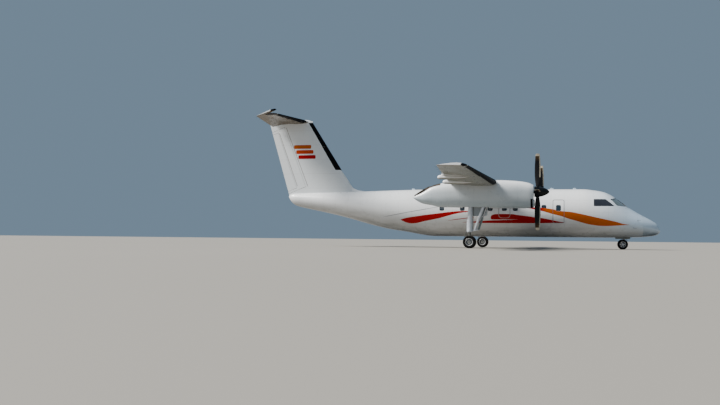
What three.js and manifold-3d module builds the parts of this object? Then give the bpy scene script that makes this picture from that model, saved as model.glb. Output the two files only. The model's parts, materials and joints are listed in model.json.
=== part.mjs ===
// A high-wing twin turboprop airliner with a T-tail, parked on its landing gear.
// Millimetres, +X to the nose, +Y to port, +Z up, the origin on the ground under the middle of its box.
// A station is a distance aft of the nose tip, as on the real aircraft's drawings.
import * as THREE from "three";
import { mergeVertices } from "three/addons/utils/BufferGeometryUtils.js";
import Module from "manifold-3d";

const wasm = await Module();
wasm.setup();

// Driving dimensions
const LENGTH = 22250;
const HALF_SPAN = 12945;
const HEIGHT = 7490;
const BODY_RADIUS = 1345;
const NOSE_X = LENGTH / 2;

// Gaps: pieces that touch, pieces that move, and a pin in its hole
const SEAT_GAP = 0.3;
const SWING_GAP = 9;
const END_GAP = 14;
const PIN_GAP = 0.6;

// Landing gear and propellers
const GEAR_Y = 3935;
const MAIN_GEAR_STATION = 9900;
const NOSE_GEAR_STATION = 1950;
const TYRE_FACETS = 24;
const MAIN_TYRE = { radius: 336.5, width: 203, rimRadius: 185, halfTrack: 212 };
const NOSE_TYRE = { radius: 279.5, width: 165, rimRadius: 155, halfTrack: 150 };
const HUB_STATION = 6410;
const HUB_Z = 2960;
const PROP_RADIUS = 1980;

// Paint and bare finishes
const paint = {
  white: { color: 0xf2f3f4, roughness: 0.35, metalness: 0.05 },
  glass: { color: 0x15191d, roughness: 0.08, metalness: 0.1 },
  black: { color: 0x17181a, roughness: 0.5, metalness: 0.1 },
  strut: { color: 0xc6cbd0, roughness: 0.4, metalness: 0.3 },
  rim: { color: 0xb4b9be, roughness: 0.45, metalness: 0.6 },
  tyre: { color: 0x1b1b1c, roughness: 0.9, metalness: 0 },
  hotMetal: { color: 0x3a3632, roughness: 0.6, metalness: 0.8 },
  engine: { color: 0x8a8d90, roughness: 0.5, metalness: 0.7 },
};

// Solids

function solidOf(geometry) {
  const bare = new THREE.BufferGeometry();
  bare.setAttribute("position", geometry.getAttribute("position"));
  if (geometry.index) bare.setIndex(geometry.index);
  const merged = mergeVertices(bare, 1e-3);
  return new wasm.Manifold(
    new wasm.Mesh({
      numProp: 3,
      vertProperties: merged.attributes.position.array,
      triVerts: new Uint32Array(merged.index.array),
    }),
  );
}

function geometryOf(solid) {
  const mesh = solid.getMesh();
  const geometry = new THREE.BufferGeometry();
  geometry.setAttribute("position", new THREE.Float32BufferAttribute(mesh.vertProperties, 3));
  geometry.setIndex(Array.from(mesh.triVerts));
  const flat = geometry.toNonIndexed();
  flat.computeVertexNormals();
  return flat;
}

const join = (first, ...others) => others.reduce((sum, next) => sum.add(next), first);
const cut = (first, ...others) => others.reduce((rest, next) => rest.subtract(next), first);

// The triangles that close one end ring, in the ring's own direction
function capFaces(ring) {
  const size = new THREE.Box3().setFromPoints(ring).getSize(new THREE.Vector3());
  const thin = ["x", "y", "z"].reduce((a, b) => (size[a] <= size[b] ? a : b));
  const [across, up] = ["x", "y", "z"].filter((axis) => axis !== thin);
  const flat = ring.map((p) => new THREE.Vector2(p[across], p[up]));
  const turn = Math.sign(THREE.ShapeUtils.area(flat));
  return THREE.ShapeUtils.triangulateShape(flat, []).map(([a, b, c]) => {
    const own = Math.sign(THREE.ShapeUtils.area([flat[a], flat[b], flat[c]]));
    return own === turn ? [a, b, c] : [a, c, b];
  });
}

// A closed body through rings with the same number of points each
function loft(rings) {
  const count = rings[0].length;
  const last = (rings.length - 1) * count;
  const faces = [];
  for (let r = 0; r + 1 < rings.length; r += 1) {
    for (let i = 0; i < count; i += 1) {
      const a = r * count + i;
      const b = r * count + ((i + 1) % count);
      faces.push([a, b, b + count], [a, b + count, a + count]);
    }
  }
  capFaces(rings[0]).forEach(([a, b, c]) => faces.push([a, c, b]));
  capFaces(rings.at(-1)).forEach(([a, b, c]) => faces.push([last + a, last + b, last + c]));
  const points = rings.flat();
  const volume = faces.reduce(
    (sum, [a, b, c]) => sum + points[a].dot(points[b].clone().cross(points[c])),
    0,
  );
  const index = volume < 0 ? faces.map(([a, b, c]) => [a, c, b]) : faces;
  const geometry = new THREE.BufferGeometry().setFromPoints(points);
  geometry.setIndex(index.flat());
  return solidOf(geometry);
}

function box(low, high) {
  const size = high.map((value, i) => value - low[i]);
  const geometry = new THREE.BoxGeometry(...size);
  geometry.translate(...low.map((value, i) => value + size[i] / 2));
  return solidOf(geometry);
}

// A round bar, or a cone where the two radii differ
function bar(from, to, radius, endRadius = radius, facets = 10) {
  const along = to.clone().sub(from);
  const geometry = new THREE.CylinderGeometry(endRadius, radius, along.length(), facets);
  const turn = new THREE.Quaternion().setFromUnitVectors(
    new THREE.Vector3(0, 1, 0),
    along.clone().normalize(),
  );
  geometry.applyQuaternion(turn);
  geometry.translate(...from.clone().add(to).multiplyScalar(0.5).toArray());
  return solidOf(geometry);
}

const lerp = THREE.MathUtils.lerp;
const at = (station, y, z) => new THREE.Vector3(NOSE_X - station, y, z);

// Rows of a table, blended at a place between two of them
function rowAt(rows, key, place) {
  const next = rows.findIndex((row) => row[key] >= place);
  if (next <= 0) return { ...rows[next < 0 ? rows.length - 1 : 0] };
  const low = rows[next - 1];
  const high = rows[next];
  const part = (place - low[key]) / (high[key] - low[key]);
  return Object.fromEntries(Object.keys(low).map((name) => [name, lerp(low[name], high[name], part)]));
}

// Fuselage: an egg-shaped section at each station
const bodyRows = [
  [0, 1050, 990, 30, 1020],
  [50, 1230, 895, 190, 1060],
  [170, 1400, 810, 360, 1095],
  [350, 1530, 755, 520, 1130],
  [590, 1675, 720, 680, 1180],
  [935, 1860, 690, 850, 1250],
  [1330, 2090, 670, 985, 1340],
  [1680, 2310, 660, 1080, 1430],
  [1950, 2510, 652, 1145, 1510],
  [2260, 2750, 646, 1205, 1610],
  [2570, 2970, 642, 1255, 1710],
  [2980, 3145, 640, 1302, 1820],
  [3500, 3240, 640, 1334, 1920],
  [4100, 3300, 640, 1345, 1985],
  [5750, 3300, 640, 1345, 1985],
  [12300, 3300, 640, 1345, 1985],
  [12900, 3300, 705, 1338, 2010],
  [13800, 3280, 865, 1300, 2070],
  [14900, 3250, 1030, 1215, 2190],
  [16000, 3215, 1280, 1085, 2320],
  [17150, 3190, 1600, 920, 2450],
  [17900, 3175, 1790, 805, 2540],
  [18700, 3160, 1965, 680, 2620],
  [19600, 3130, 2150, 520, 2710],
  [20140, 3105, 2265, 410, 2770],
  [20500, 3090, 2360, 340, 2800],
  [20750, 3070, 2500, 260, 2840],
  [20920, 3015, 2690, 150, 2880],
  [21000, 2950, 2830, 60, 2890],
].map(([station, top, bottom, halfWidth, waist]) => ({ station, top, bottom, halfWidth, waist }));
const BODY_POINTS = 32;

function eggRing(row, grow, points, centreY = 0, squareness = 1) {
  return Array.from({ length: points }, (_, i) => {
    const angle = (i / points) * 2 * Math.PI;
    const side = Math.sign(Math.cos(angle)) * Math.abs(Math.cos(angle)) ** squareness;
    const rise = Math.sign(Math.sin(angle)) * Math.abs(Math.sin(angle)) ** squareness;
    const reach = rise > 0 ? row.top - row.waist : row.waist - row.bottom;
    return at(row.station, centreY + (row.halfWidth + grow) * side, row.waist + (reach + grow) * rise);
  });
}

function stationsBetween(rows, start, end) {
  const inside = rows.filter((row) => row.station > start && row.station < end);
  return [rowAt(rows, "station", start), ...inside, rowAt(rows, "station", end)];
}

function bodySection(start, end, grow = 0) {
  return loft(stationsBetween(bodyRows, start, end).map((row) => eggRing(row, grow, BODY_POINTS)));
}

const RADOME_END = 935;
const FRONT_END = 5750;
const CENTRE_END = 12600;
const TAIL_END = 21000;
const wholeBody = bodySection(0, TAIL_END);
const bodyForCuts = bodySection(0, TAIL_END, SEAT_GAP);

// A prism seen from the side or the front, from one depth to another
function sidePrism(outline, nearY, farY) {
  return loft([nearY, farY].map((y) => outline.map(([station, z]) => at(station, y, z))));
}

// An outline with each edge moved outwards
function growOutline(outline, by) {
  const points = outline.map(([x, y]) => new THREE.Vector2(x, y));
  const turn = Math.sign(THREE.ShapeUtils.area(points));
  const normals = points.map((point, i) => {
    const edge = points[(i + 1) % points.length].clone().sub(point).normalize();
    return new THREE.Vector2(edge.y * turn, -edge.x * turn);
  });
  return points.map((point, i) => {
    const [before, after] = [normals.at(i - 1), normals[i]];
    const shift = before.clone().add(after).multiplyScalar(by / (1 + before.dot(after)));
    return point.clone().add(shift).toArray();
  });
}

// A panel let into the skin: the panel, and the pocket that is cut for it
const PANEL_REACH = { near: 300, far: BODY_RADIUS + 200 };
function skinPanel(outline, sideSign, depth, gap) {
  const inner = bodySection(0, TAIL_END, -depth);
  const near = sideSign * PANEL_REACH.near;
  const far = sideSign * PANEL_REACH.far;
  const panel = wholeBody.intersect(sidePrism(outline, near, far)).subtract(inner);
  const pocketDepth = bodySection(0, TAIL_END, -depth - SEAT_GAP);
  const pocket = sidePrism(growOutline(outline, gap), near, far).subtract(pocketDepth);
  return { panel, pocket };
}

const PORT = 1;
const STARBOARD = -1;
const DOOR_DEPTH = 90;
const DOOR_GAP = 12;
const PANE_DEPTH = 28;

const rectangle = (start, end, low, high) => [
  [start, low],
  [end, low],
  [end, high],
  [start, high],
];

const passengerDoorBox = { start: 4250, end: 5010, low: 1100, high: 2750 };
const baggageDoorBox = { start: 13150, end: 14420, low: 1330, high: 2850 };
const exitBox = { start: 5090, end: 5650, low: 1430, high: 2650 };
const boxOutline = ({ start, end, low, high }) => rectangle(start, end, low, high);
const sideWindowOutline = [
  [2555, 2430],
  [3515, 2380],
  [3515, 2720],
  [2880, 2720],
];

const passengerDoor = skinPanel(boxOutline(passengerDoorBox), PORT, DOOR_DEPTH, DOOR_GAP);

// The door hinges on its sill: a pin at each end, on the line of the skin
const DOOR_PIN = { radius: 6, holeRadius: 6.9, z: 1106, y: 1006.4, reach: 26, root: 60 };
const doorPins = (radius, spare) =>
  [passengerDoorBox.start, passengerDoorBox.end].map((station, i) => {
    const outwards = i ? 1 : -1;
    return bar(
      at(station - outwards * DOOR_PIN.root, DOOR_PIN.y, DOOR_PIN.z),
      at(station + outwards * (DOOR_GAP + DOOR_PIN.reach + spare), DOOR_PIN.y, DOOR_PIN.z),
      radius,
    );
  });
const doorLeaf = join(passengerDoor.panel, ...doorPins(DOOR_PIN.radius, 0));
const VESTIBULE_SIDE = -700;
const vestibule = box(
  [NOSE_X - passengerDoorBox.end - DOOR_GAP, VESTIBULE_SIDE, passengerDoorBox.low - DOOR_GAP],
  [NOSE_X - passengerDoorBox.start + DOOR_GAP, PANEL_REACH.far, passengerDoorBox.high + DOOR_GAP],
);
const baggageDoor = skinPanel(boxOutline(baggageDoorBox), PORT, DOOR_DEPTH, SEAT_GAP);
const exitPanel = skinPanel(boxOutline(exitBox), STARBOARD, DOOR_DEPTH, SEAT_GAP);
const sideWindows = {
  left: skinPanel(sideWindowOutline, PORT, PANE_DEPTH, SEAT_GAP),
  right: skinPanel(sideWindowOutline, STARBOARD, PANE_DEPTH, SEAT_GAP),
};

// Windshield panes, seen from ahead: across, up
const WINDSHIELD_REACH = [1500, 2760];
const windshieldOutline = [
  [60, 2360],
  [640, 2330],
  [930, 2360],
  [800, 2730],
  [60, 2830],
];
function windshieldPane(sideSign) {
  const prism = (outline) =>
    loft(WINDSHIELD_REACH.map((station) => outline.map(([across, z]) => at(station, sideSign * across, z))));
  const panel = wholeBody
    .intersect(prism(windshieldOutline))
    .subtract(bodySection(0, TAIL_END, -PANE_DEPTH));
  const pocket = prism(growOutline(windshieldOutline, SEAT_GAP)).subtract(
    bodySection(0, TAIL_END, -PANE_DEPTH - SEAT_GAP),
  );
  return { panel, pocket };
}
const windshields = { left: windshieldPane(PORT), right: windshieldPane(STARBOARD) };

// Aerofoils: chord fractions from the trailing edge over the top to the leading edge and back
const CHORD_STEPS = 10;
const chordFractions = Array.from(
  { length: CHORD_STEPS },
  (_, i) => 0.5 + 0.5 * Math.cos((Math.PI * i) / (CHORD_STEPS - 1)),
);

function halfThickness(fraction, ratio) {
  const f = fraction;
  return (
    5 * ratio * (0.2969 * Math.sqrt(f) - 0.126 * f - 0.3516 * f ** 2 + 0.2843 * f ** 3 - 0.1015 * f ** 4)
  );
}

function camberLine(fraction, camber) {
  const peak = 0.4;
  return fraction < peak
    ? (camber / peak ** 2) * (2 * peak * fraction - fraction ** 2)
    : (camber / (1 - peak) ** 2) * (1 - 2 * peak + 2 * peak * fraction - fraction ** 2);
}

function aerofoilRing(row, place, grow = 0) {
  const chord = row.trail - row.lead;
  const pointAt = (fraction, side) => {
    const middle = row.level + chord * camberLine(fraction, row.camber);
    const half = chord * halfThickness(fraction, row.ratio) + (fraction > 0 ? grow : 0);
    return place(row.along, row.lead - grow + (chord + 2 * grow) * fraction, middle + side * half);
  };
  const top = chordFractions.map((fraction) => pointAt(fraction, 1));
  const bottom = chordFractions.slice(0, -1).reverse().map((fraction) => pointAt(fraction, -1));
  return [...top, ...bottom];
}

const wingPlace = (along, station, level) => at(station, -along, level);
const finPlace = (along, station, level) => at(station, level, along);

// Middle of the thickness and half of it, at a place on a wing or fin
function skinAt(rows, along, station) {
  const row = rowAt(rows, "along", along);
  const chord = row.trail - row.lead;
  const fraction = (station - row.lead) / chord;
  return {
    level: row.level + chord * camberLine(fraction, row.camber),
    half: chord * halfThickness(fraction, row.ratio),
  };
}

const aerofoilTable = (rows) =>
  rows.map(([along, lead, trail, level, ratio, camber]) => ({ along, lead, trail, level, ratio, camber }));

const wingRows = aerofoilTable([
  [0, 8450, 10930, 3420, 0.18, 0.02],
  [4600, 8450, 10930, 3420, 0.18, 0.02],
  [12700, 9130, 10460, 3650, 0.13, 0.02],
  [12880, 9200, 10440, 3657, 0.11, 0.02],
  [HALF_SPAN, 9330, 10400, 3660, 0.06, 0.02],
]);
const finRows = aerofoilTable([
  [2900, 16830, 20983, 0, 0.12, 0],
  [7200, 19560, LENGTH, 0, 0.11, 0],
  [7330, 19643, LENGTH, 0, 0.11, 0],
]);
const TAILPLANE_Z = 7340;
const tailplaneRows = aerofoilTable([
  [0, 19850, 22070, TAILPLANE_Z, 0.12, 0],
  [3850, 20650, 21800, TAILPLANE_Z, 0.1, 0],
  [3960, 20740, 21775, TAILPLANE_Z, 0.05, 0],
]);

function surfaceBody(rows, place, from, to, grow = 0) {
  const inside = rows.filter((row) => row.along > from && row.along < to);
  const used = [rowAt(rows, "along", from), ...inside, rowAt(rows, "along", to)];
  return loft(used.map((row) => aerofoilRing(row, place, grow)));
}

// A control surface is what lies behind its hinge line, with a round nose about the hinge.
// Its pins turn in holes at both ends of the space that is cut for it. Where it has a balance horn,
// all that lies beyond its outer end moves with it, and the pin there is left out.
const CUT_DEPTH = 400;
const CUT_REACH = 2500;
const NOSE_PROUD = 1;
const PIN_RADIUS = 14;
const PIN_HOLE_RADIUS = 15;
const PIN_REACH = 40;
const PIN_END_SPARE = 5;
const NOSE_FACETS = 10;
const PIN_FACETS = 6;
const HORN_REACH = 1200;
function controlSurface(whole, rows, place, hinge, hasHorn = false) {
  const ends = hinge.map(([along, station]) => ({ along, station, ...skinAt(rows, along, station) }));
  const [a, b] = ends;
  const length = Math.hypot(b.along - a.along, b.station - a.station);
  const step = {
    along: (b.along - a.along) / length,
    station: (b.station - a.station) / length,
    level: (b.level - a.level) / length,
  };
  const onPlan = (end, outwards, aft, level) =>
    place(
      end.along + outwards * step.along - aft * step.station,
      end.station + outwards * step.station + aft * step.along,
      level,
    );
  const slab = (spare) =>
    loft(
      [a.level - CUT_DEPTH, a.level + CUT_DEPTH].map((level) => [
        onPlan(a, -spare, 0, level),
        onPlan(b, spare, 0, level),
        onPlan(b, spare, CUT_REACH, level),
        onPlan(a, -spare, CUT_REACH, level),
      ]),
    );
  const horn = (gap) =>
    loft(
      [a.level - CUT_DEPTH, a.level + CUT_DEPTH].map((level) => [
        onPlan(b, -gap, -HORN_REACH, level),
        onPlan(b, HORN_REACH, -HORN_REACH, level),
        onPlan(b, HORN_REACH, CUT_REACH, level),
        onPlan(b, -gap, CUT_REACH, level),
      ]),
    );
  const hornAt = (gap) => (hasHorn ? [horn(gap)] : []);
  const onHinge = (end, outwards) => onPlan(end, outwards, 0, end.level + outwards * step.level);
  const round = (spare, grow) =>
    bar(onHinge(a, -spare), onHinge(b, spare), a.half + grow, b.half + grow, NOSE_FACETS);
  const body = whole.intersect(join(slab(0), round(0, NOSE_PROUD), ...hornAt(0)));
  const pins = (hasHorn ? [a] : [a, b]).map((end, i) => {
    const outwards = (i ? 1 : -1) * (END_GAP + PIN_REACH);
    const pinEnds = (extra) => [
      onHinge(end, (i ? -1 : 1) * PIN_REACH),
      onHinge(end, outwards + Math.sign(outwards) * extra),
    ];
    return {
      pin: bar(...pinEnds(0), PIN_RADIUS, PIN_RADIUS, PIN_FACETS),
      hole: bar(...pinEnds(PIN_END_SPARE), PIN_HOLE_RADIUS, PIN_HOLE_RADIUS, PIN_FACETS * 2),
    };
  });
  return {
    moving: join(body, ...pins.map((item) => item.pin)),
    space: join(
      slab(END_GAP),
      round(END_GAP, NOSE_PROUD + SWING_GAP),
      ...hornAt(END_GAP),
      ...pins.map((item) => item.hole),
    ),
    axis: [onHinge(a, 0), onHinge(b, 0)],
  };
}

function turnedAbout([from, to], degrees, solid) {
  const axis = to.clone().sub(from).normalize();
  const geometry = geometryOf(solid);
  geometry.translate(...from.clone().negate().toArray());
  geometry.applyQuaternion(
    new THREE.Quaternion().setFromAxisAngle(axis, THREE.MathUtils.degToRad(degrees)),
  );
  geometry.translate(...from.toArray());
  return solidOf(geometry);
}

// Flaps sit in the same way but without a swing gap, on their tracks
const FLAP_CUT = { levels: [3000, 4200], reach: 1500 };
function seatedPanel(whole, place, hinge) {
  const [[along, station], [farAlong, farStation]] = hinge;
  const slab = (gap) =>
    loft(
      FLAP_CUT.levels.map((level) => [
        place(along - gap, station - gap, level),
        place(farAlong + gap, farStation - gap, level),
        place(farAlong + gap, farStation + FLAP_CUT.reach, level),
        place(along - gap, station + FLAP_CUT.reach, level),
      ]),
    );
  return { panel: whole.intersect(slab(0)), space: slab(SEAT_GAP) };
}

// Wing
const WING_JOINT = 4600;
const halfWing = surfaceBody(wingRows, wingPlace, 0, HALF_SPAN);
const centreWing = loft(
  [-WING_JOINT, WING_JOINT].map((along) => aerofoilRing({ ...wingRows[0], along }, wingPlace)),
);
const centreWingForCuts = loft(
  [-WING_JOINT, WING_JOINT].map((along) => aerofoilRing({ ...wingRows[0], along }, wingPlace, SEAT_GAP)),
);
const AILERON_HINGE = [
  [9250, 10360],
  [12350, 10155],
];
const INNER_FLAP_HINGE = [
  [1420, 10200],
  [3360, 10200],
];
const OUTER_FLAP_HINGE = [
  [WING_JOINT + 20, 10200],
  [9180, 10075],
];
const aileron = controlSurface(halfWing, wingRows, wingPlace, AILERON_HINGE);
const innerFlap = seatedPanel(halfWing, wingPlace, INNER_FLAP_HINGE);
const outerFlap = seatedPanel(halfWing, wingPlace, OUTER_FLAP_HINGE);
const wingForCuts = surfaceBody(wingRows, wingPlace, 0, HALF_SPAN, SEAT_GAP);

// A slim fairing over each flap hinge, under the wing: place aft of the hinge line, how far its top
// lies above the lower skin, its depth below that skin and half its width
const FLAP_FAIRING_POINTS = 10;
const flapFairingRows = [
  { aft: -640, above: 14, depth: 6, halfWidth: 22 },
  { aft: -420, above: 22, depth: 78, halfWidth: 48 },
  { aft: -120, above: 22, depth: 138, halfWidth: 62 },
  { aft: 240, above: 10, depth: 150, halfWidth: 60 },
  { aft: 520, above: -2, depth: 120, halfWidth: 46 },
  { aft: 790, above: -22, depth: 58, halfWidth: 16 },
];
function flapFairing(along, hingeStation, space) {
  const trailingEdge = rowAt(wingRows, "along", along).trail;
  const rings = flapFairingRows.map(({ aft, above, depth, halfWidth }) => {
    const station = hingeStation + aft;
    const skin = skinAt(wingRows, along, Math.min(station, trailingEdge));
    const under = skin.level - skin.half;
    const top = under + above;
    const bottom = under - depth;
    const row = { station, top, bottom, halfWidth, waist: (top + bottom) / 2 };
    return eggRing(row, 0, FLAP_FAIRING_POINTS, -along);
  });
  return cut(loft(rings), wingForCuts.intersect(space));
}
const OUTER_FAIRINGS = [6100, 8550];
const INNER_FAIRING = 2400;
const hingeStationAt = ([[along, station], [farAlong, farStation]], place) =>
  lerp(station, farStation, (place - along) / (farAlong - along));
const fairingOn = (hinge, space) => (along) => flapFairing(along, hingeStationAt(hinge, along), space);

const outerWing = join(
  cut(
    surfaceBody(wingRows, wingPlace, WING_JOINT + SEAT_GAP, HALF_SPAN),
    aileron.space,
    outerFlap.space,
  ),
  ...OUTER_FAIRINGS.map(fairingOn(OUTER_FLAP_HINGE, outerFlap.space)),
);

function mirrored(solid) {
  const geometry = geometryOf(solid).scale(1, -1, 1);
  const position = geometry.getAttribute("position");
  const points = [];
  for (let i = 0; i < position.count; i += 3) {
    [i, i + 2, i + 1].forEach((n) => points.push(position.getX(n), position.getY(n), position.getZ(n)));
  }
  const turned = new THREE.BufferGeometry();
  turned.setAttribute("position", new THREE.Float32BufferAttribute(points, 3));
  return solidOf(turned);
}

const innerFairing = fairingOn(INNER_FLAP_HINGE, innerFlap.space)(INNER_FAIRING);
const wingCentre = join(
  cut(centreWing, innerFlap.space, mirrored(innerFlap.space)),
  innerFairing,
  mirrored(innerFairing),
);

// Fairing between the wing and the top of the fuselage
const fairingRows = [
  [7350, 3240, 2700, 300, 2900],
  [7900, 3450, 2700, 700, 2950],
  [8500, 3610, 2700, 930, 2980],
  [9300, 3640, 2700, 990, 3000],
  [10300, 3600, 2700, 970, 3000],
  [11100, 3500, 2700, 820, 2960],
  [11900, 3390, 2700, 560, 2900],
  [12500, 3240, 2700, 250, 2900],
].map(([station, top, bottom, halfWidth, waist]) => ({ station, top, bottom, halfWidth, waist }));
const FAIRING_POINTS = 24;
const fairingBlock = loft(fairingRows.map((row) => eggRing(row, 0, FAIRING_POINTS)));
const wingFairing = cut(fairingBlock, bodyForCuts, centreWingForCuts);

// Nacelles, built for the starboard side
const nacelleRows = [
  [6600, 3300, 2150, 400, 2900],
  [6800, 3400, 2130, 450, 2900],
  [7200, 3490, 2125, 480, 2900],
  [7800, 3545, 2125, 535, 2870],
  [8450, 3570, 2125, 560, 2850],
  [9300, 3560, 2130, 560, 2850],
  [10300, 3525, 2145, 550, 2850],
  [10950, 3475, 2170, 525, 2850],
  [11450, 3405, 2205, 480, 2830],
  [11850, 3300, 2265, 430, 2800],
  [12400, 2965, 2345, 330, 2680],
  [12800, 2735, 2560, 200, 2650],
  [12900, 2670, 2640, 90, 2655],
].map(([station, top, bottom, halfWidth, waist]) => ({ station, top, bottom, halfWidth, waist }));
const NACELLE_POINTS = 20;
const NACELLE_SQUARENESS = 0.82;
const NACELLE_SPLIT = 8800;
const NACELLE_WALL = 45;
function nacelleBody(start, end, grow = 0) {
  return loft(
    stationsBetween(nacelleRows, start, end).map((row) =>
      eggRing(row, grow, NACELLE_POINTS, -GEAR_Y, NACELLE_SQUARENESS),
    ),
  );
}
const COWL_FRONT = 6600;
const COWL_FRONT_WALL = 6660;
const intakeMouth = { start: 6500, end: 6900, halfWidth: 180, low: 2250, high: 2530 };
const shaftHole = { radius: 91.8, facets: 20 };
const cowl = cut(
  nacelleBody(COWL_FRONT, NACELLE_SPLIT),
  nacelleBody(COWL_FRONT_WALL, NACELLE_SPLIT + 1, -NACELLE_WALL),
  box(
    [NOSE_X - intakeMouth.end, -GEAR_Y - intakeMouth.halfWidth, intakeMouth.low],
    [NOSE_X - intakeMouth.start, -GEAR_Y + intakeMouth.halfWidth, intakeMouth.high],
  ),
  bar(
    at(intakeMouth.start, -GEAR_Y, HUB_Z),
    at(intakeMouth.end, -GEAR_Y, HUB_Z),
    shaftHole.radius,
    shaftHole.radius,
    shaftHole.facets,
  ),
  centreWingForCuts,
);

const ENGINE = { start: 7050, halfWidth: 255, low: 2480, high: 3110 };
const engineBlock = box(
  [NOSE_X - (NACELLE_SPLIT - SEAT_GAP), -GEAR_Y - ENGINE.halfWidth, ENGINE.low],
  [NOSE_X - ENGINE.start, -GEAR_Y + ENGINE.halfWidth, ENGINE.high],
);

// A round duct, closed in front, cut off along the slope of the nacelle's aft end
const EXHAUST = { radius: 250, wall: 22, frontWall: 60, z: 3005, start: 11000, end: 12900, facets: 16 };
const exhaustAt = (station) => at(station, -GEAR_Y, EXHAUST.z);
const exhaustBar = (start, end, radius) =>
  bar(exhaustAt(start), exhaustAt(end), radius, radius, EXHAUST.facets);
const exhaustBore = exhaustBar(EXHAUST.start, EXHAUST.end + 200, EXHAUST.radius + SEAT_GAP);
const exhaustLip = [
  [10900, 2635],
  [12830, 2635],
  [12830, 2775],
  [11890, 3345],
  [10900, 3345],
];
const exhaustDuct = cut(
  exhaustBar(EXHAUST.start + SEAT_GAP, EXHAUST.end, EXHAUST.radius),
  exhaustBar(EXHAUST.start + EXHAUST.frontWall, EXHAUST.end + 100, EXHAUST.radius - EXHAUST.wall),
).intersect(sidePrism(exhaustLip, -GEAR_Y - EXHAUST.radius * 2, -GEAR_Y + EXHAUST.radius * 2));

// The wheel bay, narrower at its mouth
const GEAR_BAY = {
  start: 8890,
  end: 10260,
  halfWidth: 330,
  mouthHalfWidth: 236,
  low: 2000,
  mouthTop: 2300,
  top: 2760,
};
const bayPart = (halfWidth, low, top) =>
  box(
    [NOSE_X - GEAR_BAY.end, -GEAR_Y - halfWidth, low],
    [NOSE_X - GEAR_BAY.start, -GEAR_Y + halfWidth, top],
  );
const gearBay = join(
  bayPart(GEAR_BAY.halfWidth, GEAR_BAY.mouthTop, GEAR_BAY.top),
  bayPart(GEAR_BAY.mouthHalfWidth, GEAR_BAY.low, GEAR_BAY.mouthTop),
);

// Jack pads: a short round boss with a flat face, its top inside the skin
const JACK_PAD_RADIUS = 55;
const jackPad = ({ station, y, top, face }) => bar(at(station, y, top), at(station, y, face), JACK_PAD_RADIUS);
const nacellePad = jackPad({ station: 10800, y: -GEAR_Y, top: 2260, face: 2135 });
const nosePad = jackPad({ station: 4700, y: 0, top: 700, face: 618 });
const NACELLE_END = nacelleRows.at(-1).station;
const nacelleAft = cut(
  join(nacelleBody(NACELLE_SPLIT + SEAT_GAP, NACELLE_END), nacellePad),
  gearBay,
  exhaustBore,
  centreWingForCuts,
);

// Propeller: spinner, hub and four feathered blades in one piece
const bladeRows = [
  [150, 130, 110, 118],
  [330, 170, 90, 112],
  [600, 265, 46, 105],
  [900, 300, 32, 99],
  [1250, 285, 23, 93],
  [1600, 245, 17, 87],
  [1880, 205, 12, 83],
  [PROP_RADIUS, 110, 7, 82],
].map(([radius, chord, thickness, pitch]) => ({ radius, chord, thickness, pitch }));
const BLADE_POINTS = 8;
const BLADE_COUNT = 4;

function bladeRing({ radius, chord, thickness, pitch }) {
  const turn = THREE.MathUtils.degToRad(pitch);
  return Array.from({ length: BLADE_POINTS }, (_, i) => {
    const angle = (i / BLADE_POINTS) * 2 * Math.PI;
    const along = (chord / 2) * Math.cos(angle);
    const thick = (thickness / 2) * Math.sin(angle);
    return new THREE.Vector3(
      along * Math.sin(turn) + thick * Math.cos(turn),
      along * Math.cos(turn) - thick * Math.sin(turn),
      radius,
    );
  });
}

// Half profile from the tip back, on the propeller's axis: ahead of the blades, radius
const SPINNER_FACETS = 18;
const spinnerProfile = [
  [600, 0],
  [575, 60],
  [500, 120],
  [370, 190],
  [200, 245],
  [40, 272],
  [-130, 280],
  [-165, 262],
  [-165, 90],
  [-330, 90],
  [-330, 0],
];
function propeller() {
  const profile = spinnerProfile.map(([ahead, radius]) => new THREE.Vector2(radius, ahead));
  const lathe = new THREE.LatheGeometry(profile.reverse(), SPINNER_FACETS);
  lathe.rotateZ(-Math.PI / 2);
  let sum = solidOf(lathe);
  const blade = loft(bladeRows.map(bladeRing));
  for (let i = 0; i < BLADE_COUNT; i += 1) {
    const geometry = geometryOf(blade);
    geometry.rotateX((i * 2 * Math.PI) / BLADE_COUNT);
    sum = join(sum, solidOf(geometry));
  }
  const geometry = geometryOf(sum);
  geometry.translate(NOSE_X - HUB_STATION, -GEAR_Y, HUB_Z);
  return solidOf(geometry);
}

// Tail: fin with its dorsal fillet, a two-piece rudder, tailplane and elevators
const FIN_ROOT = finRows[0].along;
const FIN_TOP = finRows.at(-1).along;
const TAILPLANE_TIP = tailplaneRows.at(-1).along;
const wholeFin = surfaceBody(finRows, finPlace, FIN_ROOT, FIN_TOP - SEAT_GAP);
const finForCuts = surfaceBody(finRows, finPlace, FIN_ROOT, FIN_TOP, SEAT_GAP);
const wholeTailplane = surfaceBody(tailplaneRows, wingPlace, 0, TAILPLANE_TIP);
const halfTailplaneForCuts = surfaceBody(tailplaneRows, wingPlace, 0, TAILPLANE_TIP, SEAT_GAP);
const tailplaneForCuts = join(halfTailplaneForCuts, mirrored(halfTailplaneForCuts));
const RUDDER_HINGE = [
  [3480, 19990],
  [7020, 21350],
];
const TRIM_RUDDER_HINGE = [
  [3400, 20560],
  [6700, 21736],
];
const wholeRudder = controlSurface(wholeFin, finRows, finPlace, RUDDER_HINGE);
const rearRudder = controlSurface(wholeRudder.moving, finRows, finPlace, TRIM_RUDDER_HINGE);
const foreRudder = cut(wholeRudder.moving, rearRudder.space);
const dorsalRows = [
  [16300, 3190, 2900, 50, 3080],
  [16800, 3270, 2900, 90, 3090],
  [17100, 3420, 2900, 110, 3100],
  [17400, 3850, 2900, 120, 3130],
  [17650, 4200, 2900, 120, 3170],
].map(([station, top, bottom, halfWidth, waist]) => ({ station, top, bottom, halfWidth, waist }));
const FILLET_POINTS = 12;
const dorsalFillet = loft(dorsalRows.map((row) => eggRing(row, 0, FILLET_POINTS)));
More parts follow.
